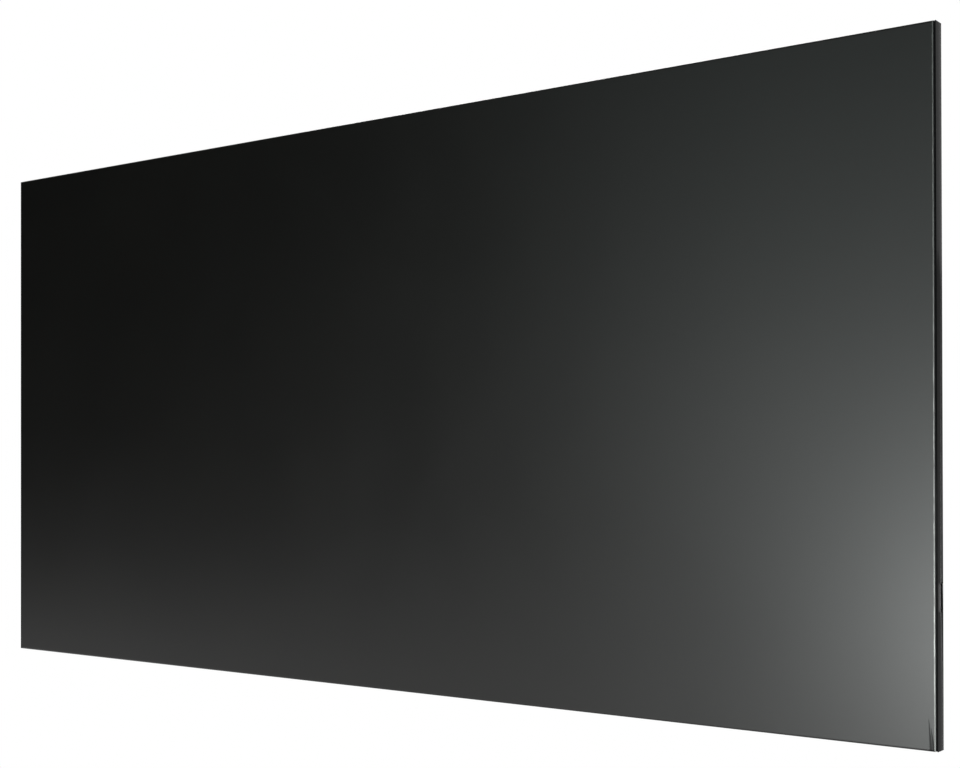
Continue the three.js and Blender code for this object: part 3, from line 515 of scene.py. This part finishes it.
def frame_black():
    """Black coated extrusion, glossier than the plate, with painted shade on its front lip and behind the
    side slot, and a painted highlight of bare metal in front of the slot.
    """
    coat = Recipe("frame_black", (0.006, 0.006, 0.0065), 0.0, 0.3)
    low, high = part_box("frame_right")
    slot_highlight, slot_shade = slot_highlight_and_shade(coat, low, high)
    black = coat.blend(coat.noise(30, detail=3), (0.0045, 0.0045, 0.005), (0.008, 0.008, 0.0085))
    # painted highlight: bare metal in front of the slot
    coat.feed(coat.blend(slot_highlight, black, FRAME_HIGHLIGHT_METAL), "Base Color")
    coat.feed(slot_highlight, "Metallic")
    coat.feed(coat.vary(coat.noise(60, detail=4), 0.13, 0.17), "Roughness")
    # painted shade on the lip's front, beside the plate's edge
    lip_shade_end, gloss_start = (low.y + depth for depth in LIP_SHADE)
    shine = coat.span(coat.axis("Y"), lip_shade_end, gloss_start, LIP_SHADE_SPECULAR, SPECULAR)
    # painted shade behind the slot cuts the reflection
    unshaded = coat.math("SUBTRACT", 1, coat.math("MULTIPLY", slot_shade, SLOT_SHADE_STRENGTH))
    coat.feed(coat.math("MULTIPLY", shine, unshaded), "Specular IOR Level")
    peel = coat.bump(coat.noise(420, detail=2), 0.008 * MM)
    coat.feed(coat.bump(coat.noise(2200, detail=1), 0.003 * MM, under=peel), "Normal")
    return coat.material


def galvanised_steel():
    """Zinc-coated sheet with its crystal spangle, rolling lines and light handling scuffs."""
    sheet = Recipe("galvanised_steel", (0.52, 0.54, 0.55), 1.0, 0.38)
    warp = sheet.noise(60, detail=2, distortion=1.5)
    crystals = sheet.cells(85)
    tone = sheet.math("ADD", sheet.math("MULTIPLY", crystals, 0.75), sheet.math("MULTIPLY", warp, 0.35))
    spangle = sheet.blend(sheet.span(tone, 0.2, 0.85), (0.40, 0.42, 0.44), (0.62, 0.64, 0.65))
    stain = sheet.span(sheet.noise(9, detail=5, roughness=0.65), 0.55, 0.8, 0, 0.35)
    sheet.feed(sheet.blend(stain, spangle, (0.36, 0.37, 0.38)), "Base Color")
    rough = sheet.span(tone, 0.2, 0.85, 0.46, 0.30)
    lines = sheet.noise(40, detail=3, where=sheet.stretched((1.5, 40, 40)))
    sheet.feed(sheet.math("ADD", rough, sheet.span(lines, 0.4, 0.7, -0.03, 0.05)), "Roughness")
    facets = sheet.bump(crystals, 0.006 * MM)
    sheet.feed(sheet.bump(lines, 0.004 * MM, under=facets), "Normal")
    return sheet.material


def zinc_plated_steel():
    """Bright zinc plating with a faint yellow and blue passivation."""
    plating = Recipe("zinc_plated_steel", (0.66, 0.67, 0.66), 1.0, 0.28)
    drift = plating.span(plating.noise(320, detail=2), 0.35, 0.65)
    plating.feed(plating.blend(drift, (0.64, 0.67, 0.70), (0.70, 0.68, 0.60)), "Base Color")
    plating.feed(plating.vary(plating.noise(1600, detail=3), 0.22, 0.4), "Roughness")
    plating.feed(plating.bump(plating.noise(2600, detail=2), 0.004 * MM), "Normal")
    return plating.material


def bare_aluminium():
    """Drawn aluminium with fine marks."""
    metal = Recipe("bare_aluminium", (0.74, 0.75, 0.76), 1.0, 0.34)
    marks = metal.noise(500, detail=3, where=metal.stretched((1, 6, 1)))
    metal.feed(metal.blend(metal.vary(marks), (0.68, 0.69, 0.71), (0.79, 0.80, 0.81)), "Base Color")
    metal.feed(metal.vary(marks, 0.28, 0.44), "Roughness")
    metal.feed(metal.bump(marks, 0.006 * MM), "Normal")
    return metal.material


def black_plastic():
    """Moulded plastic with a spark-eroded grain."""
    plastic = Recipe("black_plastic", (0.018, 0.018, 0.019), 0.0, 0.5)
    cloud = plastic.noise(70, detail=3)
    plastic.feed(plastic.blend(cloud, (0.014, 0.014, 0.015), (0.024, 0.024, 0.025)), "Base Color")
    grain = plastic.noise(1300, detail=3, roughness=0.6)
    plastic.feed(plastic.vary(grain, 0.44, 0.58), "Roughness")
    plastic.feed(plastic.bump(grain, 0.03 * MM), "Normal")
    return plastic.material


def seal_rubber():
    """Dull black foam rubber."""
    rubber = Recipe("seal_rubber", (0.02, 0.02, 0.02), 0.0, 0.85)
    pores = rubber.cells(1400, output="Distance")
    open_share = rubber.span(pores, 0.0, 0.6)
    rubber.feed(rubber.blend(open_share, (0.012, 0.012, 0.012), (0.03, 0.03, 0.03)), "Base Color")
    rubber.feed(rubber.bump(pores, 0.05 * MM), "Normal")
    return rubber.material


def terminal_ceramic():
    """Unglazed cream steatite."""
    clay = Recipe("terminal_ceramic", (0.78, 0.74, 0.64), 0.0, 0.45)
    speck = clay.noise(900, detail=3)
    clay.feed(clay.blend(clay.span(speck, 0.35, 0.7), (0.80, 0.76, 0.67), (0.70, 0.66, 0.55)), "Base Color")
    clay.feed(clay.bump(speck, 0.02 * MM), "Normal")
    return clay.material


def foil():
    """Aluminium foil, crinkled where it was pressed on by hand."""
    sheet = Recipe("foil", (0.82, 0.83, 0.84), 1.0, 0.22)
    folds = sheet.cells(28, feature="DISTANCE_TO_EDGE", output="Distance")
    fine = sheet.noise(180, detail=4, roughness=0.6)
    sheet.feed(sheet.blend(fine, (0.76, 0.77, 0.78), (0.86, 0.87, 0.88)), "Base Color")
    sheet.feed(sheet.vary(fine, 0.16, 0.3), "Roughness")
    sheet.feed(sheet.bump(fine, 0.05 * MM, under=sheet.bump(folds, 0.3 * MM)), "Normal")
    return sheet.material


def insulation():
    """Pressed mineral fibre."""
    wool = Recipe("insulation", (0.66, 0.60, 0.44), 0.0, 0.95)
    fibres = wool.noise(240, detail=5, roughness=0.7, where=wool.stretched((1, 1, 7)))
    tufts = wool.noise(60, detail=4)
    straw = wool.blend(wool.vary(fibres), (0.50, 0.44, 0.30), (0.76, 0.71, 0.56))
    wool.feed(wool.blend(wool.span(tufts, 0.5, 0.75, 0, 0.4), straw, (0.56, 0.50, 0.36)), "Base Color")
    wool.feed(wool.bump(fibres, 0.3 * MM, under=wool.bump(tufts, 0.5 * MM)), "Normal")
    return wool.material


def sheath(name, color, roughness=0.42):
    """Extruded wire covering in one colour, with slight drift and a drawn surface."""
    skin = Recipe(name, color, 0.0, roughness)
    drift = skin.noise(180, detail=2)
    darker = tuple(0.75 * part for part in color)
    skin.feed(skin.blend(drift, darker, color), "Base Color")
    skin.feed(skin.vary(skin.noise(900, detail=2), roughness - 0.06, roughness + 0.08), "Roughness")
    skin.feed(skin.bump(skin.noise(1400, detail=2), 0.01 * MM), "Normal")
    return skin.material


def make_finishes():
    """Every finish under its name among the record's material slots."""
    return {
        "plate_coating": plate_coating(),
        "frame_black": frame_black(),
        "galvanised_steel": galvanised_steel(),
        "zinc_plated_steel": zinc_plated_steel(),
        "bare_aluminium": bare_aluminium(),
        "black_plastic": black_plastic(),
        "seal_rubber": seal_rubber(),
        "terminal_ceramic": terminal_ceramic(),
        "foil": foil(),
        "insulation": insulation(),
        "cable_sheath": sheath("cable_sheath", (0.35, 0.09, 0.06), 0.55),
        "lead_brown": sheath("lead_brown", (0.12, 0.05, 0.02)),
        "lead_blue": sheath("lead_blue", (0.03, 0.13, 0.35)),
        "lead_green": sheath("lead_green", (0.15, 0.34, 0.05)),
    }


# ---------------------------------------------------------------- the pieces


def make_front_plate(finishes):
    """The radiant plate: a shallow tray of sheet, rolled back all round, from top to bottom of the frame."""
    low, high = (corner.copy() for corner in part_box("front_plate"))
    low.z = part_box("frame_bottom")[0].z
    high.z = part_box("frame_top")[1].z
    low.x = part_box("frame_left")[0].x + LIP_WIDTH + LIP_GAP
    high.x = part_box("frame_right")[1].x - LIP_WIDTH - LIP_GAP
    middle = low.y + PLATE_EDGE_RADIUS  # depth of the roll's centre
    flat_inset = PLATE_EDGE_RADIUS + FLAT_MARGIN
    turns = [QUARTER * i / PLATE_EDGE_STEPS for i in range(PLATE_EDGE_STEPS + 1)]

    def ring(inset, y):
        """The tray's outline, inset from its box, at one depth."""
        radius = max(PLATE_CORNER_RADIUS - inset, PLATE_LEAST_CORNER)
        outline = rounded_rectangle(low, high, inset, radius, PLATE_CORNER_STEPS)
        return [(x, y, z) for x, z in outline]

    def rolled(radius, angles):
        """Outlines round the rolled edge, one at each angle."""
        return [
            ring(PLATE_EDGE_RADIUS - radius * math.sin(a), middle - radius * math.cos(a)) for a in angles
        ]

    rings = [
        ring(flat_inset, low.y),
        *rolled(PLATE_EDGE_RADIUS, turns),
        ring(0, high.y),
        ring(PLATE_SHEET, high.y),
        *rolled(PLATE_EDGE_RADIUS - PLATE_SHEET, reversed(turns)),
        ring(flat_inset, low.y + PLATE_SHEET),
    ]
    mesh = to_mesh(loft(rings), "front_plate_skin")
    place("front_plate_skin", mesh, finishes, "plate_coating", "front_plate")


def covered_rail(side, joint):
    """The upper or lower rail, cut off behind the joint, where the plate covers it."""
    low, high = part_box("frame_" + side)
    left, right = low.x - CUT_PAST, high.x + CUT_PAST
    foot, top = low.z - CUT_PAST, high.z + CUT_PAST
    outline = [(left, foot), (right, foot), (right, top), (left, top)]
    return carved(cad_shape("frame_" + side), prism(outline, low.y - CUT_PAST, joint))


def lipped_rail(side, joint):
    """The left or right rail, with the rounded lip that stands beside the plate's edge."""
    low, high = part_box("frame_" + side)
    if side == "right":
        outer, inner = high.x, high.x - LIP_WIDTH
    else:
        outer, inner = low.x, low.x + LIP_WIDTH
    root = joint + CUT_PAST  # the lip ends inside the rail
    bend = LIP_WIDTH / 2
    section = bent_outline([(outer, low.y, bend), (inner, low.y, bend), (inner, root, 0), (outer, root, 0)])
    lip = prism(section, low.z + LIP_END, high.z - LIP_END, axis="z")
    return carved(cad_shape("frame_" + side), lip, operation="UNION")


def make_frame(finishes):
    """The four mitred rails, with their hard edges broken as coating does."""
    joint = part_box("front_plate")[1].y + RAIL_JOINT
    for side in ("top", "bottom", "left", "right"):
        rail = covered_rail if side in ("top", "bottom") else lipped_rail
        mesh = to_mesh(soften(rail(side, joint), FRAME_EDGE), "frame_rail_" + side)
        place("frame_rail_" + side, mesh, finishes, "frame_black", "frame_" + side)


def stadium(half_length, radius, z):
    """Plan points of a bar with round ends."""
    straight = half_length - radius
    right = arc_points(straight, z, radius, -QUARTER, QUARTER, BEAD_END_STEPS)
    return right + arc_points(-straight, z, radius, QUARTER, 3 * QUARTER, BEAD_END_STEPS)


def bead_slope():
    """How far in and how high each ring of a bead lies, from the sheet to the bead's flat top."""
    steps = BEAD_SLOPE_STEPS
    curve = [
        (BEAD_TAPER * i / steps, BEAD_HEIGHT * (i / steps) ** 2 * (3 - 2 * i / steps))
        for i in range(steps + 1)
    ]
    return [(-FLAT_MARGIN, 0), *curve, (BEAD_TAPER + FLAT_MARGIN, BEAD_HEIGHT)]


def make_back_cover(finishes):
    """The galvanised back sheet, with three beads pressed out of it."""
    low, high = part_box("back_cover")
    sheet_back = high.y - BEAD_HEIGHT
    bead_reach = (high.z - low.z) / 2 - BEAD_INSET
    middle_z = (low.z + high.z) / 2
    bm = bmesh.new()

    def loop(points, y):
        """Vertices at plan points, at one depth."""
        return [bm.verts.new((x, y, z)) for x, z in points]

    def edges_of(verts):
        """Edges that join vertices into a closed loop."""
        return [bm.edges.new((verts[i], verts[(i + 1) % len(verts)])) for i in range(len(verts))]

    corners = [(low.x, low.z), (high.x, low.z), (high.x, high.z), (low.x, high.z)]
    outline = edges_of(loop(corners, sheet_back))
    for z in (middle_z - bead_reach, middle_z, middle_z + bead_reach):
        lower = None
        for inward, rise in bead_slope():
            ring = loop(stadium(BEAD_LENGTH / 2 - inward, BEAD_RADIUS - inward, z), sheet_back + rise)
            if lower is None:
                outline += edges_of(ring)
            else:
                bridge(bm, lower, ring)
            lower = ring
        bm.faces.new(lower)
    bmesh.ops.triangle_fill(bm, edges=outline, use_beauty=True, use_dissolve=False)
    bmesh.ops.recalc_face_normals(bm, faces=bm.faces)
    if sum(face.normal.y * face.calc_area() for face in bm.faces) < 0:
        bmesh.ops.reverse_faces(bm, faces=bm.faces)
    bmesh.ops.solidify(bm, geom=list(bm.faces), thickness=COVER_SHEET)
    mesh = to_mesh(bm, "back_cover_sheet")
    place("back_cover_sheet", mesh, finishes, "galvanised_steel", "back_cover")


def cross_cutter(top, depth):
    """The recess of a cross-head screw, from just above its top."""
    reach, half = CROSS_ARM, CROSS_HALF_WIDTH
    arm = [(half, reach), (-half, reach), (-half, half)]
    plus = []
    for _ in range(4):
        plus += arm
        arm = [(-z, x) for x, z in arm]
    return prism(plus, top - depth, top + depth)


def pan_screw(name, head_height, length):
    """A cross-head screw along y: the head starts at 0 and stands towards +y."""
    side = SCREW_HEAD_SIDE * head_height
    dome = []
    for i in range(SCREW_DOME_STEPS + 1):
        angle = QUARTER * i / SCREW_DOME_STEPS
        radius = SCREW_HEAD_RADIUS * math.cos(angle) if i < SCREW_DOME_STEPS else 0
        dome.append((radius, side + (head_height - side) * math.sin(angle)))
    tip = SCREW_TIP * SCREW_RADIUS
    shank = [(0, -length), (tip, -length), (SCREW_RADIUS, tip - length), (SCREW_RADIUS, 0)]
    body = lathe([*shank, (SCREW_HEAD_RADIUS, 0), *dome])
    return to_mesh(carved(body, cross_cutter(head_height, CROSS_DEPTH * head_height)), name)


def place_screws(prefix, count, head_height, finishes):
    """One screw for each numbered node, each turned a little differently."""
    mesh = None
    for number in range(1, count + 1):
        node = f"{prefix}_{number}"
        low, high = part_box(node)
        if mesh is None:
            mesh = pan_screw(prefix + "_fine", head_height, high.y - low.y - head_height)
        seat = Matrix.Translation(((low.x + high.x) / 2, high.y - head_height, (low.z + high.z) / 2))
        turn = Matrix.Rotation(math.radians(SCREW_TURN * number), 4, "Y")
        place(node + "_fine", mesh, finishes, "zinc_plated_steel", node, seat @ turn)


def blind_rivet(name, length):
    """A domed rivet along y with the dimple of its snapped mandrel; the head's underside is at 0."""
    under = RIVET_HEAD_HEIGHT - length + RIVET_TAIL_HEIGHT
    end = under - RIVET_TAIL_HEIGHT
    tail = [
        (0, end),
        (RIVET_TAIL_RADIUS * RIVET_TAIL_END, end),
        (RIVET_TAIL_RADIUS, under - RIVET_TAIL_HEIGHT / 2),
        (RIVET_TAIL_RADIUS, under),
    ]
    shank = [(RIVET_SHANK_RADIUS, under), (RIVET_SHANK_RADIUS, 0)]
    dome = []
    for i in range(RIVET_DOME_STEPS + 1):
        angle = QUARTER * i / RIVET_DOME_STEPS
        radius = max(RIVET_HEAD_RADIUS * math.cos(angle), MANDREL_RADIUS)
        dome.append((radius, RIVET_HEAD_HEIGHT * math.sin(angle)))
    floor = RIVET_HEAD_HEIGHT * DIMPLE_RISE
    dimple = [(MANDREL_RADIUS * DIMPLE_RADIUS, floor), (0, floor)]
    return to_mesh(lathe([*tail, *shank, *dome, *dimple]), name)


def place_rivets(nodes, finishes):
    """The same rivet at each of the named nodes."""
    low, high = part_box(nodes[0])
    mesh = blind_rivet("blind_rivet", high.y - low.y)
    for node in nodes:
        low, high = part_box(node)
        seat = Matrix.Translation(((low.x + high.x) / 2, high.y - RIVET_HEAD_HEIGHT, (low.z + high.z) / 2))
        place(node + "_fine", mesh, finishes, "bare_aluminium", node, seat)


def keyhole(x, z, start, end):
    """A keyhole cutter along y: a round entry below, and a narrow slot above it."""
    half = KEYHOLE_SLOT_WIDTH / 2
    turn = math.asin(half / KEYHOLE_ENTRY_RADIUS)
    first, last = QUARTER + turn, QUARTER - turn + 2 * math.pi
    entry_z, slot_z = z - KEYHOLE_TRAVEL / 2, z + KEYHOLE_TRAVEL / 2
    entry = arc_points(x, entry_z, KEYHOLE_ENTRY_RADIUS, first, last, KEYHOLE_ENTRY_STEPS)
    slot = arc_points(x, slot_z, half, 0, math.pi, KEYHOLE_SLOT_STEPS)
    return prism(entry + slot, start, end)


def make_hanging_rails(finishes):
    """The two top-hat rails, bent from sheet, with a keyhole near each end."""
    for level in ("upper", "lower"):
        node = "hanging_rail_" + level
        low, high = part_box(node)
        z = (low.z + high.z) / 2
        outer, foot, sheet = RAIL_WEB / 2, (high.z - low.z) / 2, RAIL_SHEET
        inner, inside = outer - sheet, RAIL_BEND - sheet
        front, back = low.y, high.y
        section = bent_outline(
            [
                (front, z + foot, 0),
                (front + sheet, z + foot, 0),
                (front + sheet, z + outer, inside),
                (back, z + outer, RAIL_BEND),
                (back, z - outer, RAIL_BEND),
                (front + sheet, z - outer, inside),
                (front + sheet, z - foot, 0),
                (front, z - foot, 0),
                (front, z - inner, RAIL_BEND),
                (back - sheet, z - inner, inside),
                (back - sheet, z + inner, inside),
                (front, z + inner, RAIL_BEND),
            ]
        )
        body = prism(section, low.x, high.x, axis="x")
        holes = [keyhole(x, z, back - 2 * sheet, back + sheet) for x in (-KEYHOLE_X, KEYHOLE_X)]
        mesh = to_mesh(carved(body, *holes), node + "_fine")
        place(node + "_fine", mesh, finishes, "galvanised_steel", node)


def moulding(low, high, steps):
    """A body with the junction box's round corners, through (inset, y) steps."""
    rings = []
    for inset, y in steps:
        radius = max(BOX_CORNER - inset, BOX_LEAST_CORNER)
        outline = rounded_rectangle(low, high, inset, radius, BOX_CORNER_STEPS)
        rings.append([(x, y, z) for x, z in outline])
    return loft(rings)


def make_junction_box(finishes):
    """The moulded box and its seal, with rounded edges."""
    low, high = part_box("junction_box")
    floor = low.y + BOX_FLOOR
    steps = [
        (BOX_EDGE, low.y),
        (0.3 * BOX_EDGE, low.y + 0.3 * BOX_EDGE),
        (0, low.y + BOX_EDGE),
        (0, high.y - BOX_RIM),
        (BOX_RIM, high.y),
        (BOX_WALL - BOX_RIM, high.y),
        (BOX_WALL, high.y - BOX_RIM),
        (BOX_WALL, floor + BOX_EDGE),
        (BOX_WALL + BOX_EDGE, floor),
    ]
    mesh = to_mesh(moulding(low, high, steps), "junction_box_moulding")
    place("junction_box_moulding", mesh, finishes, "black_plastic", "junction_box")

    mesh = to_mesh(soften(cad_shape("box_seal"), SEAL_EDGE), "box_seal_strip")
    place("box_seal_strip", mesh, finishes, "seal_rubber", "box_seal")


def make_box_lid(finishes):
    """The box's lid, crowned at its outer edge."""
    low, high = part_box("box_lid")
    steps = [(LID_EDGE, low.y), (0, low.y + LID_EDGE)]
    for i in range(LID_CROWN_STEPS + 1):
        angle = QUARTER * i / LID_CROWN_STEPS
        steps.append((LID_CROWN * (1 - math.cos(angle)), high.y - LID_CROWN * (1 - math.sin(angle))))
    mesh = to_mesh(moulding(low, high, steps), "box_lid_moulding")
    place("box_lid_moulding", mesh, finishes, "black_plastic", "box_lid")


def turned_to_x(bm, start, y, z):
    """Turns a body made along y so that it runs along x from a given start."""
    bm.transform(Matrix.Translation((start, y, z)) @ Matrix.Rotation(-QUARTER, 4, "Z"))
    return bm


def hexagon(across_flats, y, z):
    """Points in y and z of a hexagon with flats that face +Y and -Y."""
    radius = across_flats / math.sqrt(3)
    angles = [math.radians(30 + 60 * i) for i in range(6)]
    return [(y + radius * math.cos(a), z + radius * math.sin(a)) for a in angles]


def make_gland(finishes):
    """The cable gland: a domed cap nut, and a body with its hard edges broken."""
    low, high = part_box("gland_cap_nut")
    y, z = (low.y + high.y) / 2, (low.z + high.z) / 2
    flats = high.y - low.y
    corner = flats / math.sqrt(3)
    length = high.x - low.x
    lip = GLAND_BORE_RADIUS + GLAND_LIP
    profile = [(0, 0), (corner - GLAND_CHAMFER, 0), (corner, GLAND_CHAMFER)]
    for i in range(GLAND_DOME_STEPS + 1):
        angle = QUARTER * i / GLAND_DOME_STEPS
        profile.append((lip + (corner - lip) * math.cos(angle), length - GLAND_DOME * (1 - math.sin(angle))))
    turned = lathe([*profile, (0, length)], GLAND_STEPS)
    start, end = -CUT_PAST, length + CUT_PAST
    bore = lathe([(0, start), (GLAND_BORE_RADIUS, start), (GLAND_BORE_RADIUS, end), (0, end)])
    nut = prism(hexagon(flats, y, z), low.x, high.x, axis="x")
    nut = carved(nut, turned_to_x(turned, low.x, y, z), operation="INTERSECT")
    nut = carved(nut, turned_to_x(bore, low.x, y, z))
    mesh = to_mesh(nut, "gland_cap_moulding")
    place("gland_cap_moulding", mesh, finishes, "black_plastic", "gland_cap_nut")

    body = soften(cad_shape("gland_body"), GLAND_BODY_EDGE, above=GLAND_SHARP_ABOVE)
    mesh = to_mesh(body, "gland_body_moulding")
    place("gland_body_moulding", mesh, finishes, "black_plastic", "gland_body")


def dress_inner_nodes(finishes):
    """Gives every node that is still shown the finish of its own material slot."""
    slots = {part["node"]: part["material_slot"] for part in frame["record"]["subparts"]}
    for name, node in frame["nodes"].items():
        if node.hide_render:
            continue
        for holder in node.material_slots:
            holder.material = finishes[slots[name]]


# ---------------------------------------------------------------- studio

AMBIENT = 0.6  # grey level of the world as a light

FLOOR_Z = -0.65
FLOOR_RADIUS = 14
FLOOR_STEPS = 96
SHADOW_CENTRE_Y = -0.06
SHADOW_HALF_LENGTH = 0.55  # the floor takes shadows inside this ellipse, more or less
SHADOW_HALF_DEPTH = 0.12
SHADOW_FADE = (0.3, 2.0)  # squared distances, in shares of the ellipse, between which the floor turns white

TENT_RADIUS = 3.1
TENT_CENTRE_X = 0.4
TENT_FULLNESS = 0.3  # 1 is a dome; a smaller value has steeper walls and a flatter top
TENT_END = math.radians(85)  # the tent runs from the left, round the front, to this far behind the right
TENT_TURNS = 48
TENT_RISES = 14

CARD_Y = 0.55
CARD_LEFT, CARD_RIGHT = 0.62, 1.3
CARD_FOOT, CARD_TOP = -0.64, 0.9
CARD_LOWER = (-0.52, 0.035, 0.24, 0.11)  # two heights, and the glow at each
CARD_UPPER = (0.035, 0.045, 0.0, 0.15)  # the same, for the glow added above

LAMP_AIM = (0, 0, -0.15)
LAMPS = (  # name, place, width, height, watts, colour
    ("low_softbox", (0.16, -2.6, -0.52), 1.4, 0.22, 8.4, (0.92, 1.0, 1.0)),
    ("dim_cloth", (-0.05, -2.6, 0.39), 2.3, 1.35, 7.2, (0.86, 1.0, 0.97)),
    ("low_strip", (-0.35, -2.6, -0.16), 1.6, 0.53, 4.4, (0.98, 1.0, 0.98)),
    ("near_strip", (0.45, -1.6, -0.57), 0.7, 0.12, 15, (0.97, 1.0, 0.98)),
    ("back_softbox", (-1.4, 2.2, 1.6), 1.6, 1.2, 60, (1.0, 1.0, 1.0)),
)

CAMERA_PLACE = (1.04231, -1.26119, -0.21224)
CAMERA_TURN = (90.332, 0.106, 36.523)  # degrees
CAMERA_SENSOR = 36  # millimetres, as is the lens
CAMERA_LENS = 57.21
CAMERA_SHIFT = 0.0725  # share of the picture's width


def seen_directly(tree):
    """1 for rays that show a background: straight, mirrored or through glass."""
    path = tree.nodes.new("ShaderNodeLightPath")
    total = path.outputs["Is Camera Ray"]
    for name in ("Is Glossy Ray", "Is Transmission Ray"):
        step = tree.nodes.new("ShaderNodeMath")
        step.operation = "MAXIMUM"
        tree.links.new(total, step.inputs[0])
        tree.links.new(path.outputs[name], step.inputs[1])
        total = step.outputs["Value"]
    return total


def make_world():
    """White behind everything, and plain grey as a light."""
    world = bpy.data.worlds.new("studio")
    bpy.context.scene.world = world
    world.use_nodes = True
    tree = world.node_tree
    light = tree.nodes["Background"]
    light.inputs["Color"].default_value = (AMBIENT, AMBIENT, AMBIENT, 1)
    white = tree.nodes.new("ShaderNodeBackground")
    white.inputs["Color"].default_value = (1, 1, 1, 1)
    mix = tree.nodes.new("ShaderNodeMixShader")
    tree.links.new(seen_directly(tree), mix.inputs["Fac"])
    tree.links.new(light.outputs["Background"], mix.inputs[1])
    tree.links.new(white.outputs["Background"], mix.inputs[2])
    tree.links.new(mix.outputs["Shader"], tree.nodes["World Output"].inputs["Surface"])


def floor_finish():
    """Pale floor that takes shadows near the object and runs out into white."""
    floor = Recipe("floor", (0.86, 0.86, 0.85), 0.0, 0.9)
    along = floor.math("DIVIDE", floor.axis("X"), SHADOW_HALF_LENGTH)
    across = floor.math("DIVIDE", floor.math("SUBTRACT", floor.axis("Y"), SHADOW_CENTRE_Y), SHADOW_HALF_DEPTH)
    reach = floor.math("ADD", floor.math("MULTIPLY", along, along), floor.math("MULTIPLY", across, across))
    outside = floor.span(reach, *SHADOW_FADE, smooth=True)
    share = floor.math("MULTIPLY", outside, seen_directly(floor.tree))
    white = floor.add("ShaderNodeEmission")
    mix = floor.add("ShaderNodeMixShader")
    floor.link(share, mix.inputs["Fac"])
    floor.link(floor.shader.outputs["BSDF"], mix.inputs[1])
    floor.link(white.outputs["Emission"], mix.inputs[2])
    floor.link(mix.outputs["Shader"], floor.tree.nodes["Material Output"].inputs["Surface"])
    return floor.material


def card_finish():
    """Dim grey that the side of the frame mirrors: pale at the foot, darker up to the middle, pale above."""
    card = Recipe("side_card", (0, 0, 0), 0.0, 1.0)
    height = card.axis("Z")
    lower = card.span(height, *CARD_LOWER)
    upper = card.span(height, *CARD_UPPER)
    glow = card.add("ShaderNodeEmission")
    card.link(card.math("ADD", lower, upper), glow.inputs["Strength"])
    card.link(glow.outputs["Emission"], card.tree.nodes["Material Output"].inputs["Surface"])
    return card.material


def staged(name, bm, material):
    """Adds a mesh that belongs to the studio."""
    obj = bpy.data.objects.new(name, to_mesh(bm, name))
    obj.data.materials.append(material)
    bpy.context.scene.collection.objects.link(obj)
    return obj


def make_floor():
    """A round floor, below the hanging panel."""
    bm = bmesh.new()
    rim = arc_points(0, 0, FLOOR_RADIUS, 0, 2 * math.pi, FLOOR_STEPS)[:-1]
    bm.faces.new([bm.verts.new((x, y, FLOOR_Z)) for x, y in rim])
    staged("floor", bm, floor_finish())


def make_tent():
    """Near-black cloth round the front and the right of the set, which only the lamps inside it light."""
    bm = bmesh.new()
    grid = []
    for j in range(TENT_RISES + 1):
        rise = QUARTER * j / TENT_RISES
        reach = TENT_RADIUS * max(math.cos(rise), 0) ** TENT_FULLNESS
        z = FLOOR_Z + TENT_RADIUS * math.sin(rise)
        ring = arc_points(TENT_CENTRE_X, 0, reach, math.pi, 2 * math.pi + TENT_END, TENT_TURNS)
        grid.append([bm.verts.new((x, y, z)) for x, y in ring])
    for low_ring, high_ring in zip(grid, grid[1:]):
        for i in range(TENT_TURNS):
            bm.faces.new((low_ring[i], low_ring[i + 1], high_ring[i + 1], high_ring[i]))
    bmesh.ops.remove_doubles(bm, verts=bm.verts, dist=WELD)
    tent = staged("tent", bm, Recipe("tent_cloth", (0.01, 0.01, 0.01), 0.0, 1.0).material)
    tent.visible_camera = False


def make_side_card():
    """A card behind the right edge, seen only in reflections."""
    bm = bmesh.new()
    corners = [(CARD_LEFT, CARD_FOOT), (CARD_RIGHT, CARD_FOOT), (CARD_RIGHT, CARD_TOP), (CARD_LEFT, CARD_TOP)]
    bm.faces.new([bm.verts.new((x, CARD_Y, z)) for x, z in corners])
    card = staged("side_card", bm, card_finish())
    card.visible_camera = False
    card.visible_diffuse = False
    card.visible_shadow = False


def make_lamps():
    """Soft rectangular lamps that face the panel's middle."""
    for name, place_at, width, height, watts, color in LAMPS:
        data = bpy.data.lights.new(name, "AREA")
        data.shape = "RECTANGLE"
        data.size = width
        data.size_y = height
        data.energy = watts
        data.color = color
        lamp = bpy.data.objects.new(name, data)
        lamp.location = place_at
        lamp.rotation_euler = (Vector(LAMP_AIM) - Vector(place_at)).to_track_quat("-Z", "Y").to_euler()
        lamp.visible_camera = False
        bpy.context.scene.collection.objects.link(lamp)


def make_camera():
    """The photograph's viewpoint, from the right and a little below the panel's middle."""
    data = bpy.data.cameras.new("camera")
    data.sensor_width = CAMERA_SENSOR
    data.lens = CAMERA_LENS
    data.shift_y = CAMERA_SHIFT
    camera = bpy.data.objects.new("camera", data)
    camera.location = CAMERA_PLACE
    camera.rotation_euler = [math.radians(turn) for turn in CAMERA_TURN]
    bpy.context.scene.collection.objects.link(camera)
    bpy.context.scene.camera = camera


def main():
    """Dresses the model, then sets the studio round it."""
    finishes = make_finishes()
    make_front_plate(finishes)
    make_frame(finishes)
    make_back_cover(finishes)
    place_screws("cover_screw", 10, COVER_SCREW_HEAD, finishes)
    make_hanging_rails(finishes)
    rivets = [f"rail_rivet_{level}_{i}" for level in ("upper", "lower") for i in range(1, 5)]
    place_rivets(rivets, finishes)
    make_junction_box(finishes)
    make_box_lid(finishes)
    place_screws("lid_screw", 2, LID_SCREW_HEAD, finishes)
    make_gland(finishes)
    dress_inner_nodes(finishes)
    make_world()
    make_floor()
    make_tent()
    make_side_card()
    make_lamps()
    make_camera()
    bpy.context.scene.view_settings.view_transform = "Standard"


main()
